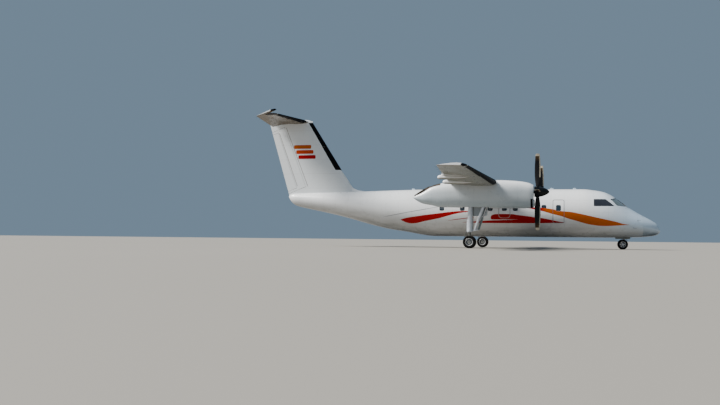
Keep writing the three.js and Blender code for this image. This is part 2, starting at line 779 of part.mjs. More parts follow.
const fin = cut(join(wholeFin, dorsalFillet), wholeRudder.space, bodyForCuts, tailplaneForCuts);

const ELEVATOR_HINGE = [
  [330, 21180],
  [3680, 21370],
];
// The parked elevators hang with their trailing edges down and their horns up
const ELEVATOR_DROOP = 20;
const elevator = controlSurface(wholeTailplane, tailplaneRows, wingPlace, ELEVATOR_HINGE, true);
const parkedElevator = turnedAbout(elevator.axis, ELEVATOR_DROOP, elevator.moving);
const tailCapRows = [
  [19600, 7350, 7250, 20, 7300],
  [19950, 7450, 7180, 110, 7310],
  [20700, HEIGHT, 7160, 150, 7320],
  [21600, 7480, 7170, 140, 7320],
  [22150, 7390, 7230, 60, 7310],
].map(([station, top, bottom, halfWidth, waist]) => ({ station, top, bottom, halfWidth, waist }));
const tailCap = loft(tailCapRows.map((row) => eggRing(row, 0, FILLET_POINTS)));
const tailplane = cut(
  join(wholeTailplane, mirrored(wholeTailplane), cut(tailCap, finForCuts)),
  elevator.space,
  mirrored(elevator.space),
);

// Wheels: half profiles of radius and distance across, the other half alike
const RIM_GAP = 0.8;
const HUB_FACE = 0.55;
const axleHeight = (tyre) => tyre.radius * Math.cos(Math.PI / TYRE_FACETS);

function tyreAndRim(tyre, centre) {
  const half = tyre.width / 2;
  const rimOuter = tyre.rimRadius - RIM_GAP;
  const tyreSide = [
    [tyre.rimRadius, half * 0.75],
    [tyre.radius * 0.8, half],
    [tyre.radius * 0.96, half * 0.75],
    [tyre.radius, half * 0.4],
  ];
  const rimSide = [
    [tyre.axleRadius + PIN_GAP, half * HUB_FACE],
    [rimOuter * 0.5, half * HUB_FACE],
    [rimOuter * 0.84, half * 0.25],
    [rimOuter, half * 0.7],
  ];
  const turned = (side) => {
    const otherSide = side.map(([radius, across]) => [radius, -across]);
    const profile = [...otherSide, ...side.reverse(), otherSide[0]];
    const geometry = new THREE.LatheGeometry(
      profile.map(([radius, across]) => new THREE.Vector2(radius, across)),
      TYRE_FACETS,
    );
    geometry.rotateY(Math.PI / TYRE_FACETS);
    geometry.translate(...centre.toArray());
    return solidOf(geometry);
  };
  return { tyre: turned(tyreSide), rim: turned(rimSide) };
}

const MAIN_WHEEL = { ...MAIN_TYRE, axleRadius: 45 };
const NOSE_WHEEL = { ...NOSE_TYRE, axleRadius: 32 };
const mainAxle = at(MAIN_GEAR_STATION, -GEAR_Y, axleHeight(MAIN_TYRE));
const noseAxle = at(NOSE_GEAR_STATION, 0, axleHeight(NOSE_TYRE));
const besides = (centre, y) => centre.clone().add(new THREE.Vector3(0, y, 0));
const mainWheelOuter = tyreAndRim(MAIN_WHEEL, besides(mainAxle, -MAIN_TYRE.halfTrack));
const mainWheelInner = tyreAndRim(MAIN_WHEEL, besides(mainAxle, MAIN_TYRE.halfTrack));
const noseWheelRight = tyreAndRim(NOSE_WHEEL, besides(noseAxle, -NOSE_TYRE.halfTrack));
const noseWheelLeft = tyreAndRim(NOSE_WHEEL, besides(noseAxle, NOSE_TYRE.halfTrack));

// An axle between two wheels, with a cap outside each rim
const AXLE_CAP = { gap: 2, proud: 14 };
const AXLE_FACETS = 16;
function axle(centre, wheel) {
  const hubFace = wheel.halfTrack + (wheel.width / 2) * HUB_FACE;
  const half = wheel.halfTrack + wheel.width * 0.3;
  const stub = (sign) =>
    bar(
      besides(centre, sign * (hubFace + AXLE_CAP.gap)),
      besides(centre, sign * (half + AXLE_CAP.proud)),
      wheel.axleRadius + AXLE_CAP.proud,
    );
  return join(
    bar(besides(centre, -half), besides(centre, half), wheel.axleRadius, wheel.axleRadius, AXLE_FACETS),
    stub(-1),
    stub(1),
  );
}

// Main leg: cylinder, piston, axle, the two-armed drag brace ahead of it and the trunnion for both
const trunnionHalf = GEAR_BAY.halfWidth - SEAT_GAP;
const legAt = (ahead, y, z) => at(MAIN_GEAR_STATION - ahead, -GEAR_Y + y, z);
const legBar = ({ from, to, radius, endRadius = radius, facets = 8 }) =>
  bar(legAt(...from), legAt(...to), radius, endRadius, facets);
const mainLegBars = {
  trunnion: { from: [60, -trunnionHalf, 2500], to: [60, trunnionHalf, 2500], radius: 60 },
  upperCylinder: { from: [60, 0, 2500], to: [10, 0, 1450], radius: 120, endRadius: 130, facets: 12 },
  lowerCylinder: { from: [0, 0, 1450], to: [0, 0, 845], radius: 155, facets: 12 },
  piston: { from: [0, 0, 845], to: [0, 0, 380], radius: 62, facets: 12 },
  axleHousing: { from: [0, 0, 470], to: [0, 0, 290], radius: 84, facets: 12 },
  braceLug: { from: [60, 0, 960], to: [300, 0, 960], radius: 60 },
  dragBraceOuter: { from: [250, 0, 930], to: [790, -150, 2360], radius: 60, endRadius: 68 },
  dragBraceInner: { from: [250, 0, 930], to: [790, 150, 2360], radius: 60, endRadius: 68 },
  bracePivot: { from: [790, -trunnionHalf, 2360], to: [790, trunnionHalf, 2360], radius: 55 },
  actuator: { from: [450, 60, 970], to: [925, 60, 2400], radius: 50 },
  actuatorLug: { from: [270, 0, 960], to: [455, 62, 985], radius: 45 },
};
const mainLeg = join(axle(mainAxle, MAIN_WHEEL), ...Object.values(mainLegBars).map(legBar));

const DOOR_PLATE = 16;
const gearDoorBox = { start: 9000, end: 9800, low: 1700, high: 2290 };
const gearDoorFace = GEAR_BAY.mouthHalfWidth - SEAT_GAP;
const gearDoor = box(
  [NOSE_X - gearDoorBox.end, -GEAR_Y + gearDoorFace - DOOR_PLATE, gearDoorBox.low],
  [NOSE_X - gearDoorBox.start, -GEAR_Y + gearDoorFace, gearDoorBox.high],
);

// Nose gear: fixed leg in its bay, steering fork below it, two doors
const NOSE_BAY = { start: 1500, end: 2350, halfWidth: 240, low: 400, top: 1250 };
const noseBay = box(
  [NOSE_X - NOSE_BAY.end, -NOSE_BAY.halfWidth, NOSE_BAY.low],
  [NOSE_X - NOSE_BAY.start, NOSE_BAY.halfWidth, NOSE_BAY.top],
);
const STEER_STATION = 1880;
const noseTrunnionHalf = NOSE_BAY.halfWidth - SEAT_GAP;
const steerAt = (ahead, y, z) => at(STEER_STATION - ahead, y, z);
const steerBar = ({ from, to, radius, facets }) => bar(steerAt(...from), steerAt(...to), radius, radius, facets);
const noseLegBars = {
  trunnion: { from: [0, -noseTrunnionHalf, 1080], to: [0, noseTrunnionHalf, 1080], radius: 48, facets: 10 },
  cylinder: { from: [0, 0, 1100], to: [0, 0, 700], radius: 70, facets: 16 },
};
const trail = NOSE_GEAR_STATION - STEER_STATION;
const forkBars = {
  collar: { from: [0, 0, 699.5], to: [0, 0, 610], radius: 92, facets: 16 },
  piston: { from: [0, 0, 615], to: [0, 0, 330], radius: 52, facets: 14 },
  foot: { from: [0, 0, 340], to: [-trail, 0, noseAxle.z], radius: 56, facets: 12 },
  towLug: { from: [40, 0, 420], to: [130, 0, 420], radius: 30, facets: 12 },
};
const noseLeg = join(...Object.values(noseLegBars).map(steerBar));
const steeringFork = join(axle(noseAxle, NOSE_WHEEL), ...Object.values(forkBars).map(steerBar));
const noseDoorBox = { start: 1560, end: 2330, low: 575, high: 730 };
const noseDoor = box(
  [NOSE_X - noseDoorBox.end, SEAT_GAP - NOSE_BAY.halfWidth, noseDoorBox.low],
  [NOSE_X - noseDoorBox.start, SEAT_GAP - NOSE_BAY.halfWidth + DOOR_PLATE, noseDoorBox.high],
);

// Fuselage sections
const fuselageFront = cut(
  join(bodySection(RADOME_END + SEAT_GAP, FRONT_END), nosePad),
  vestibule,
  ...doorPins(DOOR_PIN.holeRadius, 3),
  exitPanel.pocket,
  sideWindows.left.pocket,
  sideWindows.right.pocket,
  windshields.left.pocket,
  windshields.right.pocket,
  noseBay,
);
const fuselageCentre = cut(bodySection(FRONT_END + SEAT_GAP, CENTRE_END), centreWingForCuts);
const HOLD_END = 17000;
const SKIN_AND_FRAMES = 110;
const hold = bodySection(CENTRE_END, HOLD_END, -SKIN_AND_FRAMES);
const fuselageRear = cut(bodySection(CENTRE_END + SEAT_GAP, TAIL_END), baggageDoor.pocket, hold);

// The aircraft
const aircraft = new THREE.Group();

function addPiece(name, finish, solid) {
  const piece = new THREE.Mesh(geometryOf(solid), new THREE.MeshStandardMaterial(paint[finish]));
  piece.name = name;
  aircraft.add(piece);
}

function addPair(name, finish, solid) {
  addPiece(name + "_right", finish, solid);
  addPiece(name + "_left", finish, mirrored(solid));
}

addPiece("radome", "white", bodySection(0, RADOME_END));
addPiece("fuselage_front", "white", fuselageFront);
addPiece("fuselage_centre", "white", fuselageCentre);
addPiece("fuselage_rear", "white", fuselageRear);
addPiece("windshield_left", "glass", windshields.left.panel);
addPiece("windshield_right", "glass", windshields.right.panel);
addPiece("side_window_left", "glass", sideWindows.left.panel);
addPiece("side_window_right", "glass", sideWindows.right.panel);
addPiece("passenger_door", "white", doorLeaf);
addPiece("baggage_door", "white", baggageDoor.panel);
addPiece("emergency_exit", "white", exitPanel.panel);
addPiece("wing_centre", "white", wingCentre);
addPiece("wing_fairing", "white", wingFairing);
addPair("wing_outer", "white", outerWing);
addPair("aileron", "white", aileron.moving);
addPair("flap_inner", "white", innerFlap.panel);
addPair("flap_outer", "white", outerFlap.panel);
addPair("cowl", "white", cowl);
addPair("nacelle", "white", nacelleAft);
addPair("engine_block", "engine", engineBlock);
addPair("exhaust", "hotMetal", exhaustDuct);
addPair("propeller", "black", propeller());
addPiece("fin", "white", fin);
addPiece("rudder_fore", "white", foreRudder);
addPiece("rudder_rear", "white", rearRudder.moving);
addPiece("tailplane", "white", tailplane);
addPair("elevator", "white", parkedElevator);
addPair("main_leg", "strut", mainLeg);
addPair("main_rim_outer", "rim", mainWheelOuter.rim);
addPair("main_rim_inner", "rim", mainWheelInner.rim);
addPair("main_tyre_outer", "tyre", mainWheelOuter.tyre);
addPair("main_tyre_inner", "tyre", mainWheelInner.tyre);
addPair("gear_door", "white", gearDoor);
addPiece("nose_leg", "strut", noseLeg);
addPiece("steering_fork", "strut", steeringFork);
addPiece("nose_rim_right", "rim", noseWheelRight.rim);
addPiece("nose_rim_left", "rim", noseWheelLeft.rim);
addPiece("nose_tyre_right", "tyre", noseWheelRight.tyre);
addPiece("nose_tyre_left", "tyre", noseWheelLeft.tyre);
addPair("nose_door", "white", noseDoor);

export default aircraft;
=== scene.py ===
# A high-wing twin turboprop airliner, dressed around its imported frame.
# Metres, +X to the nose, +Y to port, +Z up. A station is a distance aft of the nose tip.
import json
import math

import bmesh
import bpy
import numpy as np
from mathutils import Matrix, Vector


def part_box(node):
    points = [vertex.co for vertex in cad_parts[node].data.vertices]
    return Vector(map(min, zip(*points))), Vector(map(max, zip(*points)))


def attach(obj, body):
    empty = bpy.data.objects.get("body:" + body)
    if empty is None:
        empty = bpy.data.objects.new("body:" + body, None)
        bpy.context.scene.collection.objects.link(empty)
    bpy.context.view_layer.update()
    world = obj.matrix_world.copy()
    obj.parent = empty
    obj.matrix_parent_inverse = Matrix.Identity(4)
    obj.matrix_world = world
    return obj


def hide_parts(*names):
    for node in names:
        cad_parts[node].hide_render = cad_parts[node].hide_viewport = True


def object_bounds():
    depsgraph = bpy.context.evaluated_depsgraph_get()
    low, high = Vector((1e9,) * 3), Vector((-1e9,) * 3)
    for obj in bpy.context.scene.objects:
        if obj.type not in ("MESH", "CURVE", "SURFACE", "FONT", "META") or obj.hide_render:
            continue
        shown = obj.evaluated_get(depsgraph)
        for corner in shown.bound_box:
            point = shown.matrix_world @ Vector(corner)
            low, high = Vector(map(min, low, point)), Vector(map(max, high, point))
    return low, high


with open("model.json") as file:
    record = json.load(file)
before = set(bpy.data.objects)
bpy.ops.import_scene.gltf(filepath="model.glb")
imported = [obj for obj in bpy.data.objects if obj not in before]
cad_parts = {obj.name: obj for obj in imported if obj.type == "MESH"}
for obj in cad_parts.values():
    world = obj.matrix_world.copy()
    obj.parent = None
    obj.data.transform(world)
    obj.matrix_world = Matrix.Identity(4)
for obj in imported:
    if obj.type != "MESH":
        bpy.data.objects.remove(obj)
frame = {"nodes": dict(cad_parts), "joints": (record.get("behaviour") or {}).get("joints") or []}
CAD_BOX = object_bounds()
JOINT_AT = {joint["name"]: np.array(joint["pos_m"]) for joint in frame["joints"]}
JOINT_AXIS = {joint["name"]: joint["axis"] for joint in frame["joints"]}

# Driving places, from the frame
MM = 0.001
NOSE_X = CAD_BOX[1][0]
HALF_SPAN = CAD_BOX[1][1]
SIDES = (("right", -1), ("left", 1))
HUB = JOINT_AT["propeller_right_spin"]
NACELLE_Y = HUB[1]
MAIN_AXLE = JOINT_AT["main_wheels_right_roll"]
NOSE_AXLE = JOINT_AT["nose_wheels_roll"]
STEER = JOINT_AT["nose_steer"]
DOOR_HINGE = JOINT_AT["passenger_door_swing"]


def station_of(x):
    return NOSE_X - x


# Camera and light

# Place in metres, heading, pitch and roll in degrees, lens and sensor in millimetres
CAMERA = {
    "place": (6.01, -51.22, 0.46), "heading": 12.74, "pitch": 2.289, "roll": 0.58, "lens": 45, "sensor": 36,
}
VIEW_END = 2000
SKY = {"colour": (0.52, 0.75, 1.0), "strength": 0.32}
# Name, strength, place, colour, the angle that it fills
SUNS = (
    ("key", 8.2, (-30, -9, 32), (1.0, 0.975, 0.93), 0.4),
    ("side", 0.6, (-44, -24, 12), (1.0, 0.96, 0.9), 0.9),
)


def linked(name, data):
    obj = bpy.data.objects.new(name, data)
    bpy.context.scene.collection.objects.link(obj)
    return obj


def add_camera():
    data = bpy.data.cameras.new("camera")
    data.lens = CAMERA["lens"]
    data.sensor_width = CAMERA["sensor"]
    data.clip_end = VIEW_END
    camera = linked("camera", data)
    heading = Matrix.Rotation(math.radians(CAMERA["heading"]), 4, "Z")
    pitch = Matrix.Rotation(math.radians(90 + CAMERA["pitch"]), 4, "X")
    roll = Matrix.Rotation(math.radians(CAMERA["roll"]), 4, "Z")
    camera.matrix_world = Matrix.Translation(CAMERA["place"]) @ heading @ pitch @ roll
    bpy.context.scene.camera = camera


def add_sun(name, strength, place, colour, spread):
    data = bpy.data.lights.new(name, "SUN")
    data.energy = strength
    data.color = colour
    data.angle = spread
    light = linked(name, data)
    light.location = place
    light.rotation_euler = (-Vector(place)).to_track_quat("-Z", "Y").to_euler()


def add_world():
    world = bpy.data.worlds.new("studio")
    world.use_nodes = True
    background = world.node_tree.nodes["Background"]
    background.inputs["Color"].default_value = (*SKY["colour"], 1)
    background.inputs["Strength"].default_value = SKY["strength"]
    bpy.context.scene.world = world


add_camera()
add_world()
for sun in SUNS:
    add_sun(*sun)

# Curves through tables


class Smooth:
    """The columns of a table as smooth curves of its first one, without overshoot."""

    def __init__(self, rows, scale=1, warp=np.asarray):
        rows = np.array(rows, float) * scale
        self.warp = warp
        self.x = warp(rows[:, 0])
        self.y = rows[:, 1:]
        step = np.diff(self.x)[:, None]
        slope = np.diff(self.y, axis=0) / step
        before = 2 * step[1:] + step[:-1]
        after = step[1:] + 2 * step[:-1]
        with np.errstate(divide="ignore", invalid="ignore"):
            mean = (before + after) / (before / slope[:-1] + after / slope[1:])
        inner = np.where(slope[:-1] * slope[1:] > 0, mean, 0)
        self.tangent = np.concatenate([slope[:1], inner, slope[-1:]])

    def __call__(self, place):
        """The columns at each place, one row for each."""
        at = np.clip(self.warp(np.atleast_1d(np.asarray(place, float))), self.x[0], self.x[-1])
        i = np.clip(np.searchsorted(self.x, at) - 1, 0, len(self.x) - 2)
        width = (self.x[i + 1] - self.x[i])[:, None]
        u = (at - self.x[i])[:, None] / width
        return (
            (2 * u**3 - 3 * u**2 + 1) * self.y[i]
            + (u**3 - 2 * u**2 + u) * width * self.tangent[i]
            + (3 * u**2 - 2 * u**3) * self.y[i + 1]
            + (u**3 - u**2) * width * self.tangent[i + 1]
        )


# Bodies in millimetres: station, top, bottom, half width, waist
BODY = Smooth([
    [0, 1050, 990, 30, 1020], [50, 1230, 895, 190, 1060], [170, 1400, 810, 360, 1095],
    [350, 1530, 755, 520, 1130], [590, 1675, 720, 680, 1180], [935, 1860, 690, 850, 1250],
    [1330, 2090, 670, 985, 1340], [1680, 2310, 660, 1080, 1430], [1950, 2510, 652, 1145, 1510],
    [2260, 2750, 646, 1205, 1610], [2570, 2970, 642, 1255, 1710], [2980, 3145, 640, 1302, 1820],
    [3500, 3240, 640, 1334, 1920], [4100, 3300, 640, 1345, 1985], [5750, 3300, 640, 1345, 1985],
    [12300, 3300, 640, 1345, 1985], [12900, 3300, 705, 1338, 2010], [13800, 3280, 865, 1300, 2070],
    [14900, 3250, 1030, 1215, 2190], [16000, 3215, 1280, 1085, 2320], [17150, 3190, 1600, 920, 2450],
    [17900, 3175, 1790, 805, 2540], [18700, 3160, 1965, 680, 2620], [19600, 3130, 2150, 520, 2710],
    [20140, 3105, 2265, 410, 2770], [20500, 3090, 2360, 340, 2800], [20750, 3070, 2500, 260, 2840],
    [20920, 3015, 2690, 150, 2880], [21000, 2950, 2830, 60, 2890],
], MM, np.sqrt)
FAIRING = Smooth([
    [7350, 3240, 2700, 300, 2900], [7900, 3450, 2700, 700, 2950], [8500, 3610, 2700, 930, 2980],
    [9300, 3640, 2700, 990, 3000], [10300, 3600, 2700, 970, 3000], [11100, 3500, 2700, 820, 2960],
    [11900, 3390, 2700, 560, 2900], [12500, 3240, 2700, 250, 2900],
], MM)
NACELLE = Smooth([
    [6600, 3300, 2140, 400, 2900], [6800, 3400, 2115, 450, 2900], [7200, 3490, 2105, 480, 2900],
    [7800, 3545, 2105, 535, 2870], [8450, 3570, 2105, 560, 2850], [9300, 3560, 2112, 560, 2850],
    [10300, 3525, 2130, 550, 2850], [10950, 3475, 2142, 525, 2850], [11450, 3405, 2150, 480, 2830],
    [11850, 3300, 2240, 430, 2800], [12400, 2965, 2345, 330, 2680], [12800, 2735, 2560, 200, 2650],
    [12900, 2670, 2640, 90, 2655],
], MM)
DORSAL = Smooth([
    [16300, 3190, 2900, 50, 3080], [16800, 3270, 2900, 90, 3090], [17100, 3420, 2900, 110, 3100],
    [17400, 3850, 2900, 120, 3130], [17650, 4200, 2900, 120, 3170],
], MM)
TAIL_CAP = Smooth([
    [19600, 7350, 7250, 20, 7300], [19950, 7450, 7180, 110, 7310], [20700, 7490, 7160, 150, 7320],
    [21600, 7480, 7170, 140, 7320], [22150, 7390, 7230, 60, 7310],
], MM)
RADOME_END = 0.935
FRONT_END = 5.75
CENTRE_END = 12.6
TAIL_END = 21.0
SEAM = 0.002

# Lifting surfaces: along, leading edge, trailing edge, level, thickness ratio, camber
WING = np.array([
    [0, 8.45, 10.93, 3.42, 0.18, 0.02],
    [4.6, 8.45, 10.93, 3.42, 0.18, 0.02],
    [12.7, 9.13, 10.46, 3.645, 0.118, 0.02],
    [12.82, 9.145, 10.448, 3.648, 0.108, 0.02],
    [12.88, 9.16, 10.44, 3.651, 0.098, 0.02],
    [12.925, 9.19, 10.42, 3.653, 0.084, 0.02],
    [HALF_SPAN, 9.23, 10.4, 3.654, 0.066, 0.02],
])
FIN = np.array([
    [2.9, 16.83, 20.983, 0, 0.12, 0],
    [7.2, 19.56, 22.25, 0, 0.11, 0],
    [7.33, 19.643, 22.25, 0, 0.11, 0],
])
TAILPLANE = np.array([
    [0, 19.85, 22.07, 7.34, 0.12, 0],
    [3.85, 20.65, 21.8, 7.34, 0.1, 0],
    [3.92, 20.69, 21.79, 7.34, 0.08, 0],
    [3.96, 20.74, 21.775, 7.34, 0.05, 0],
])
WING_JOINT = 4.6

# Shapes: points and faces


def circle(points):
    return np.linspace(0, 2 * math.pi, points, endpoint=False)


def stations_between(start, end, step):
    return np.linspace(start, end, math.ceil((end - start) / step) + 1)


def ring_faces(count, points, closed):
    turns = count if closed else count - 1
    i, j = np.meshgrid(np.arange(turns), np.arange(points), indexing="ij")
    near = i * points
    far = ((i + 1) % count) * points
    after = (j + 1) % points
    return np.stack([near + j, near + after, far + after, far + j], axis=2).reshape(-1, 4).tolist()


def loft(rings, closed=False):
    """A body through rings of points, with flat ends unless it closes on itself."""
    rings = np.asarray(rings, float)
    count, points = rings.shape[:2]
    faces = ring_faces(count, points, closed)
    if not closed:
        faces.append(list(range(points))[::-1])
        faces.append(list(range((count - 1) * points, count * points)))
    return rings.reshape(-1, 3), faces


def merge(*shapes):
    points, faces, base = [], [], 0
    for shape_points, shape_faces in shapes:
        points.append(shape_points)
        faces += [[base + index for index in face] for face in shape_faces]
        base += len(shape_points)
    return np.concatenate(points), faces


def block(low, high):
    (x0, y0, z0), (x1, y1, z1) = low, high
    return prism(rectangle(x0, x1, y0, y1), z0, z1, upright)


def turned(profile, origin, axis, segments=32, closed=False):
    """A body turned about an axis, from (distance along it, radius) pairs."""
    axis = np.asarray(axis, float) / np.linalg.norm(axis)
    helper = np.array([0, 0, 1.0]) if abs(axis[2]) < 0.9 else np.array([1.0, 0, 0])
    first = np.cross(helper, axis)
    first /= np.linalg.norm(first)
    angle = circle(segments)[:, None]
    ring = np.cos(angle) * first + np.sin(angle) * np.cross(axis, first)
    return loft([np.asarray(origin) + along * axis + radius * ring for along, radius in profile], closed)


def rod(start, end, radius, end_radius=None, chamfer=0.006, segments=24):
    """A round bar with its end edges broken."""
    start, end = np.asarray(start, float), np.asarray(end, float)
    length = np.linalg.norm(end - start)
    end_radius = radius if end_radius is None else end_radius
    cut = min(chamfer, radius * 0.4, length * 0.3)
    far_end = (length - cut, end_radius), (length, max(end_radius - cut, 0))
    return turned([(0, radius - cut), (cut, radius), *far_end], start, end - start, segments)


def bars(rows, place):
    """A rod for each row: its start, its end, its radius at each, its chamfer and its segments."""
    return [rod(place(*row[:3]), place(*row[3:6]), *row[6:]) for row in rows]


# Where an outline's two sizes and its depth go
def upright(u, v, depth):
    return (u, v, depth)


def sideways(u, v, depth):
    return (u, depth, v)


def lengthways(u, v, depth):
    return (NOSE_X - depth, u, v)


def prism(outline, start, end, place):
    """An outline carried straight from one depth to another."""
    return loft([[place(u, v, depth) for u, v in outline] for depth in (start, end)])


def slab(outer, inner):
    """A closed body between two grids of points."""
    rows, cols = outer.shape[:2]
    index = np.arange(rows * cols).reshape(rows, cols)
    quads = np.stack([index[:-1, :-1], index[1:, :-1], index[1:, 1:], index[:-1, 1:]], axis=2).reshape(-1, 4)
    border = np.concatenate([index[0, :], index[1:, -1], index[-1, -2::-1], index[-2:0:-1, 0]])
    below = rows * cols
    walls = [[a, b, b + below, a + below] for a, b in zip(border.tolist(), np.roll(border, -1).tolist())]
    faces = quads.tolist() + (quads[:, ::-1] + below).tolist() + walls
    return np.concatenate([outer.reshape(-1, 3), inner.reshape(-1, 3)]), faces


def rounded(outline, radius, step=0.06, arc=6):
    """An outline with its corners rounded and its long edges divided."""
    corners = [np.array(corner, float) for corner in outline]
    points = []
    for i, corner in enumerate(corners):
        ways = corners[i - 1] - corner, corners[(i + 1) % len(corners)] - corner
        reach = min([radius] + [np.linalg.norm(way) * 0.45 for way in ways])
        start, end = (corner + way / np.linalg.norm(way) * reach for way in ways)
        for t in np.linspace(0, 1, arc):
            points.append((1 - t) ** 2 * start + 2 * t * (1 - t) * corner + t**2 * end)
    divided = []
    for i, point in enumerate(points):
        following = points[(i + 1) % len(points)]
        parts = max(1, math.ceil(np.linalg.norm(following - point) / step))
        divided += [point + (following - point) * k / parts for k in range(parts)]
    return np.array(divided)


def grown(outline, by):
    """A rounded outline with each point moved outwards."""
    outline = np.asarray(outline, float)
    following = np.roll(outline, -1, axis=0)
    edge = following - outline
    edge /= np.linalg.norm(edge, axis=1)[:, None]
    area = np.sum(outline[:, 0] * following[:, 1] - following[:, 0] * outline[:, 1])
    out = np.stack([edge[:, 1], -edge[:, 0]], axis=1) * np.sign(area)
    mean = out + np.roll(out, 1, axis=0)
    return outline + by * mean / np.linalg.norm(mean, axis=1)[:, None]


def rectangle(u0, u1, v0, v1):
    return [(u0, v0), (u1, v0), (u1, v1), (u0, v1)]


def patch(outline, place, low, high, rings=5):
    """A closed sheet over an outline, between two heights above the surface that place gives."""
    outline = np.asarray(outline, float)
    middle = outline.mean(axis=0)
    grid = [middle + (outline - middle) * k for k in np.linspace(1, 0, rings, endpoint=False)]
    flat = np.concatenate(grid + [middle[None]])
    count = len(outline)
    centre = rings * count
    top = ring_faces(rings, count, False)
    top += [[centre - count + i, centre - count + (i + 1) % count, centre] for i in range(count)]
    below = len(flat)
    faces = top + [[index + below for index in face[::-1]] for face in top]
    faces += [[i, (i + 1) % count, (i + 1) % count + below, i + below] for i in range(count)]
    return np.concatenate([place(*flat.T, lift) for lift in (high, low)]), faces


def rim(outline, width, place, low, high):
    """A closed frame along an outline, inwards from it."""
    inner = grown(outline, -width)
    loops = [(outline, low), (outline, high), (inner, high), (inner, low)]
    return loft([place(*loop.T, lift) for loop, lift in loops], closed=True)


# Surfaces of the aircraft


def egg_rings(curve, stations, turn, grow=0.0, centre=0.0, square=1.0):
    """Points round a body at each station, at the angles given. Below 1 the body is squarer."""
    stations = np.asarray(stations, float)
    top, bottom, half, waist = (column[:, None] for column in curve(stations).T)
    side, rise = (np.sign(wave) * np.abs(wave) ** square for wave in (np.cos(turn), np.sin(turn)))
    reach = np.where(rise > 0, top - waist, waist - bottom)
    across = centre + (half + grow) * side
    return np.stack([NOSE_X - stations[:, None] + 0 * across, across, waist + (reach + grow) * rise], axis=2)


def whole_body(curve, count, around):
    """A body over the whole length of its table."""
    return loft(egg_rings(curve, np.linspace(curve.x[0], curve.x[-1], count), circle(around)))


def body_rise(station, height):
    """A height on the fuselage as a share of what its skin reaches above or below the waist."""
    top, bottom, half, waist = BODY(station).T
    return half, (height - waist) / np.where(height > waist, top - waist, waist - bottom)


def body_field(station, across, height):
    """Below 0 inside the fuselage, above 0 outside it."""
    half, rise = body_rise(station, height)
    return (across / half) ** 2 + rise**2 - 1


def off_skin(station, across, height, side, lift):
    """Places on the fuselage's skin, lifted along its slope."""
    small = 1e-4
    slope = [
        -(body_field(station + small, across, height) - body_field(station - small, across, height)),
        body_field(station, across + small, height) - body_field(station, across - small, height),
        body_field(station, across, height + small) - body_field(station, across, height - small),
    ]
    normal = np.stack(slope, axis=1)
    normal /= np.linalg.norm(normal, axis=1)[:, None]
    points = np.stack([NOSE_X - station, across, height], axis=1) + normal * lift
    return points * (1, side, 1)


def side_skin(side):
    """Places on the fuselage's side, from a station and a height."""

    def place(station, height, lift):
        half, rise = body_rise(station, height)
        across = half * np.sqrt(1 - np.clip(rise, -0.999, 0.999) ** 2)
        return off_skin(np.asarray(station, float), across, height, side, lift)

    return place


# Stations between which the front of the cockpit is looked for, and how often they are halved
GLASS_STATIONS = (0.9, 3.4)
HALVINGS = 40


def front_skin(side):
    """Places on the front of the cockpit, from a distance across and a height."""

    def place(across, height, lift):
        ahead, behind = (np.full(len(across), station) for station in GLASS_STATIONS)
        for _ in range(HALVINGS):
            middle = (ahead + behind) / 2
            outside = body_field(middle, across, height) > 0
            ahead = np.where(outside, middle, ahead)
            behind = np.where(outside, behind, middle)
        return off_skin(behind, across, height, side, lift)

    return place


def skin_point(place, u, v, lift):
    return place(np.array([u]), np.array([v]), lift)[0]


def half_thickness(f, ratio):
    return 5 * ratio * (0.2969 * np.sqrt(f) - 0.126 * f - 0.3516 * f**2 + 0.2843 * f**3 - 0.1015 * f**4)


def camber_line(f, camber, peak=0.4):
    fore = camber / peak**2 * (2 * peak * f - f**2)
    aft = camber / (1 - peak) ** 2 * (1 - 2 * peak + 2 * peak * f - f**2)
    return np.where(f < peak, fore, aft)


def row_at(rows, along):
    return [np.interp(along, rows[:, 0], rows[:, column]) for column in range(1, 6)]


def on_wing(along, station, level):
    return np.stack(np.broadcast_arrays(NOSE_X - station, -along, level), axis=-1)


def on_fin(along, station, level):
    return np.stack(np.broadcast_arrays(NOSE_X - station, level, along), axis=-1)


CHORD_STEPS = 36
CHORD = 0.5 + 0.5 * np.cos(np.pi * np.arange(CHORD_STEPS + 1) / CHORD_STEPS)
# Round a section: the share of the chord at each point, and the side that it is on
SECTION = (np.concatenate([CHORD, CHORD[-2::-1]]), np.repeat([1.0, -1.0], (CHORD_STEPS + 1, CHORD_STEPS)))


def surface_grid(rows, place, alongs, fractions, sides, grow=0.0):
    """Points on a lifting surface, one row for each place along it."""
    alongs = np.asarray(alongs, float)[:, None]
    lead, trail, level, ratio, camber = row_at(rows, alongs)
    chord = trail - lead
    middle = level + chord * camber_line(fractions, camber)
    half = chord * half_thickness(fractions, ratio) + grow
    return place(alongs, lead - grow + (chord + 2 * grow) * fractions, middle + sides * half)


def chord_point(rows, along, fraction):
    """A point on the middle line of a section."""
    return surface_grid(rows, on_wing, [along], np.array([fraction]), np.array([0.0]))[0, 0]


def lifting_body(rows, place, start, end, step=0.35):
    inside = [along for along in rows[:, 0] if start < along < end]
    alongs = sorted(set(stations_between(start, end, step)) | set(inside))
    return loft(surface_grid(rows, place, alongs, *SECTION))


def skin_level(rows, along, station):
    """The middle of a section at a station, and half its thickness there."""
    lead, trail, level, ratio, camber = row_at(rows, along)
    chord = trail - lead
    fraction = np.clip((station - lead) / chord, 0, 1)
    return level + chord * camber_line(fraction, camber), chord * half_thickness(fraction, ratio)


# Objects


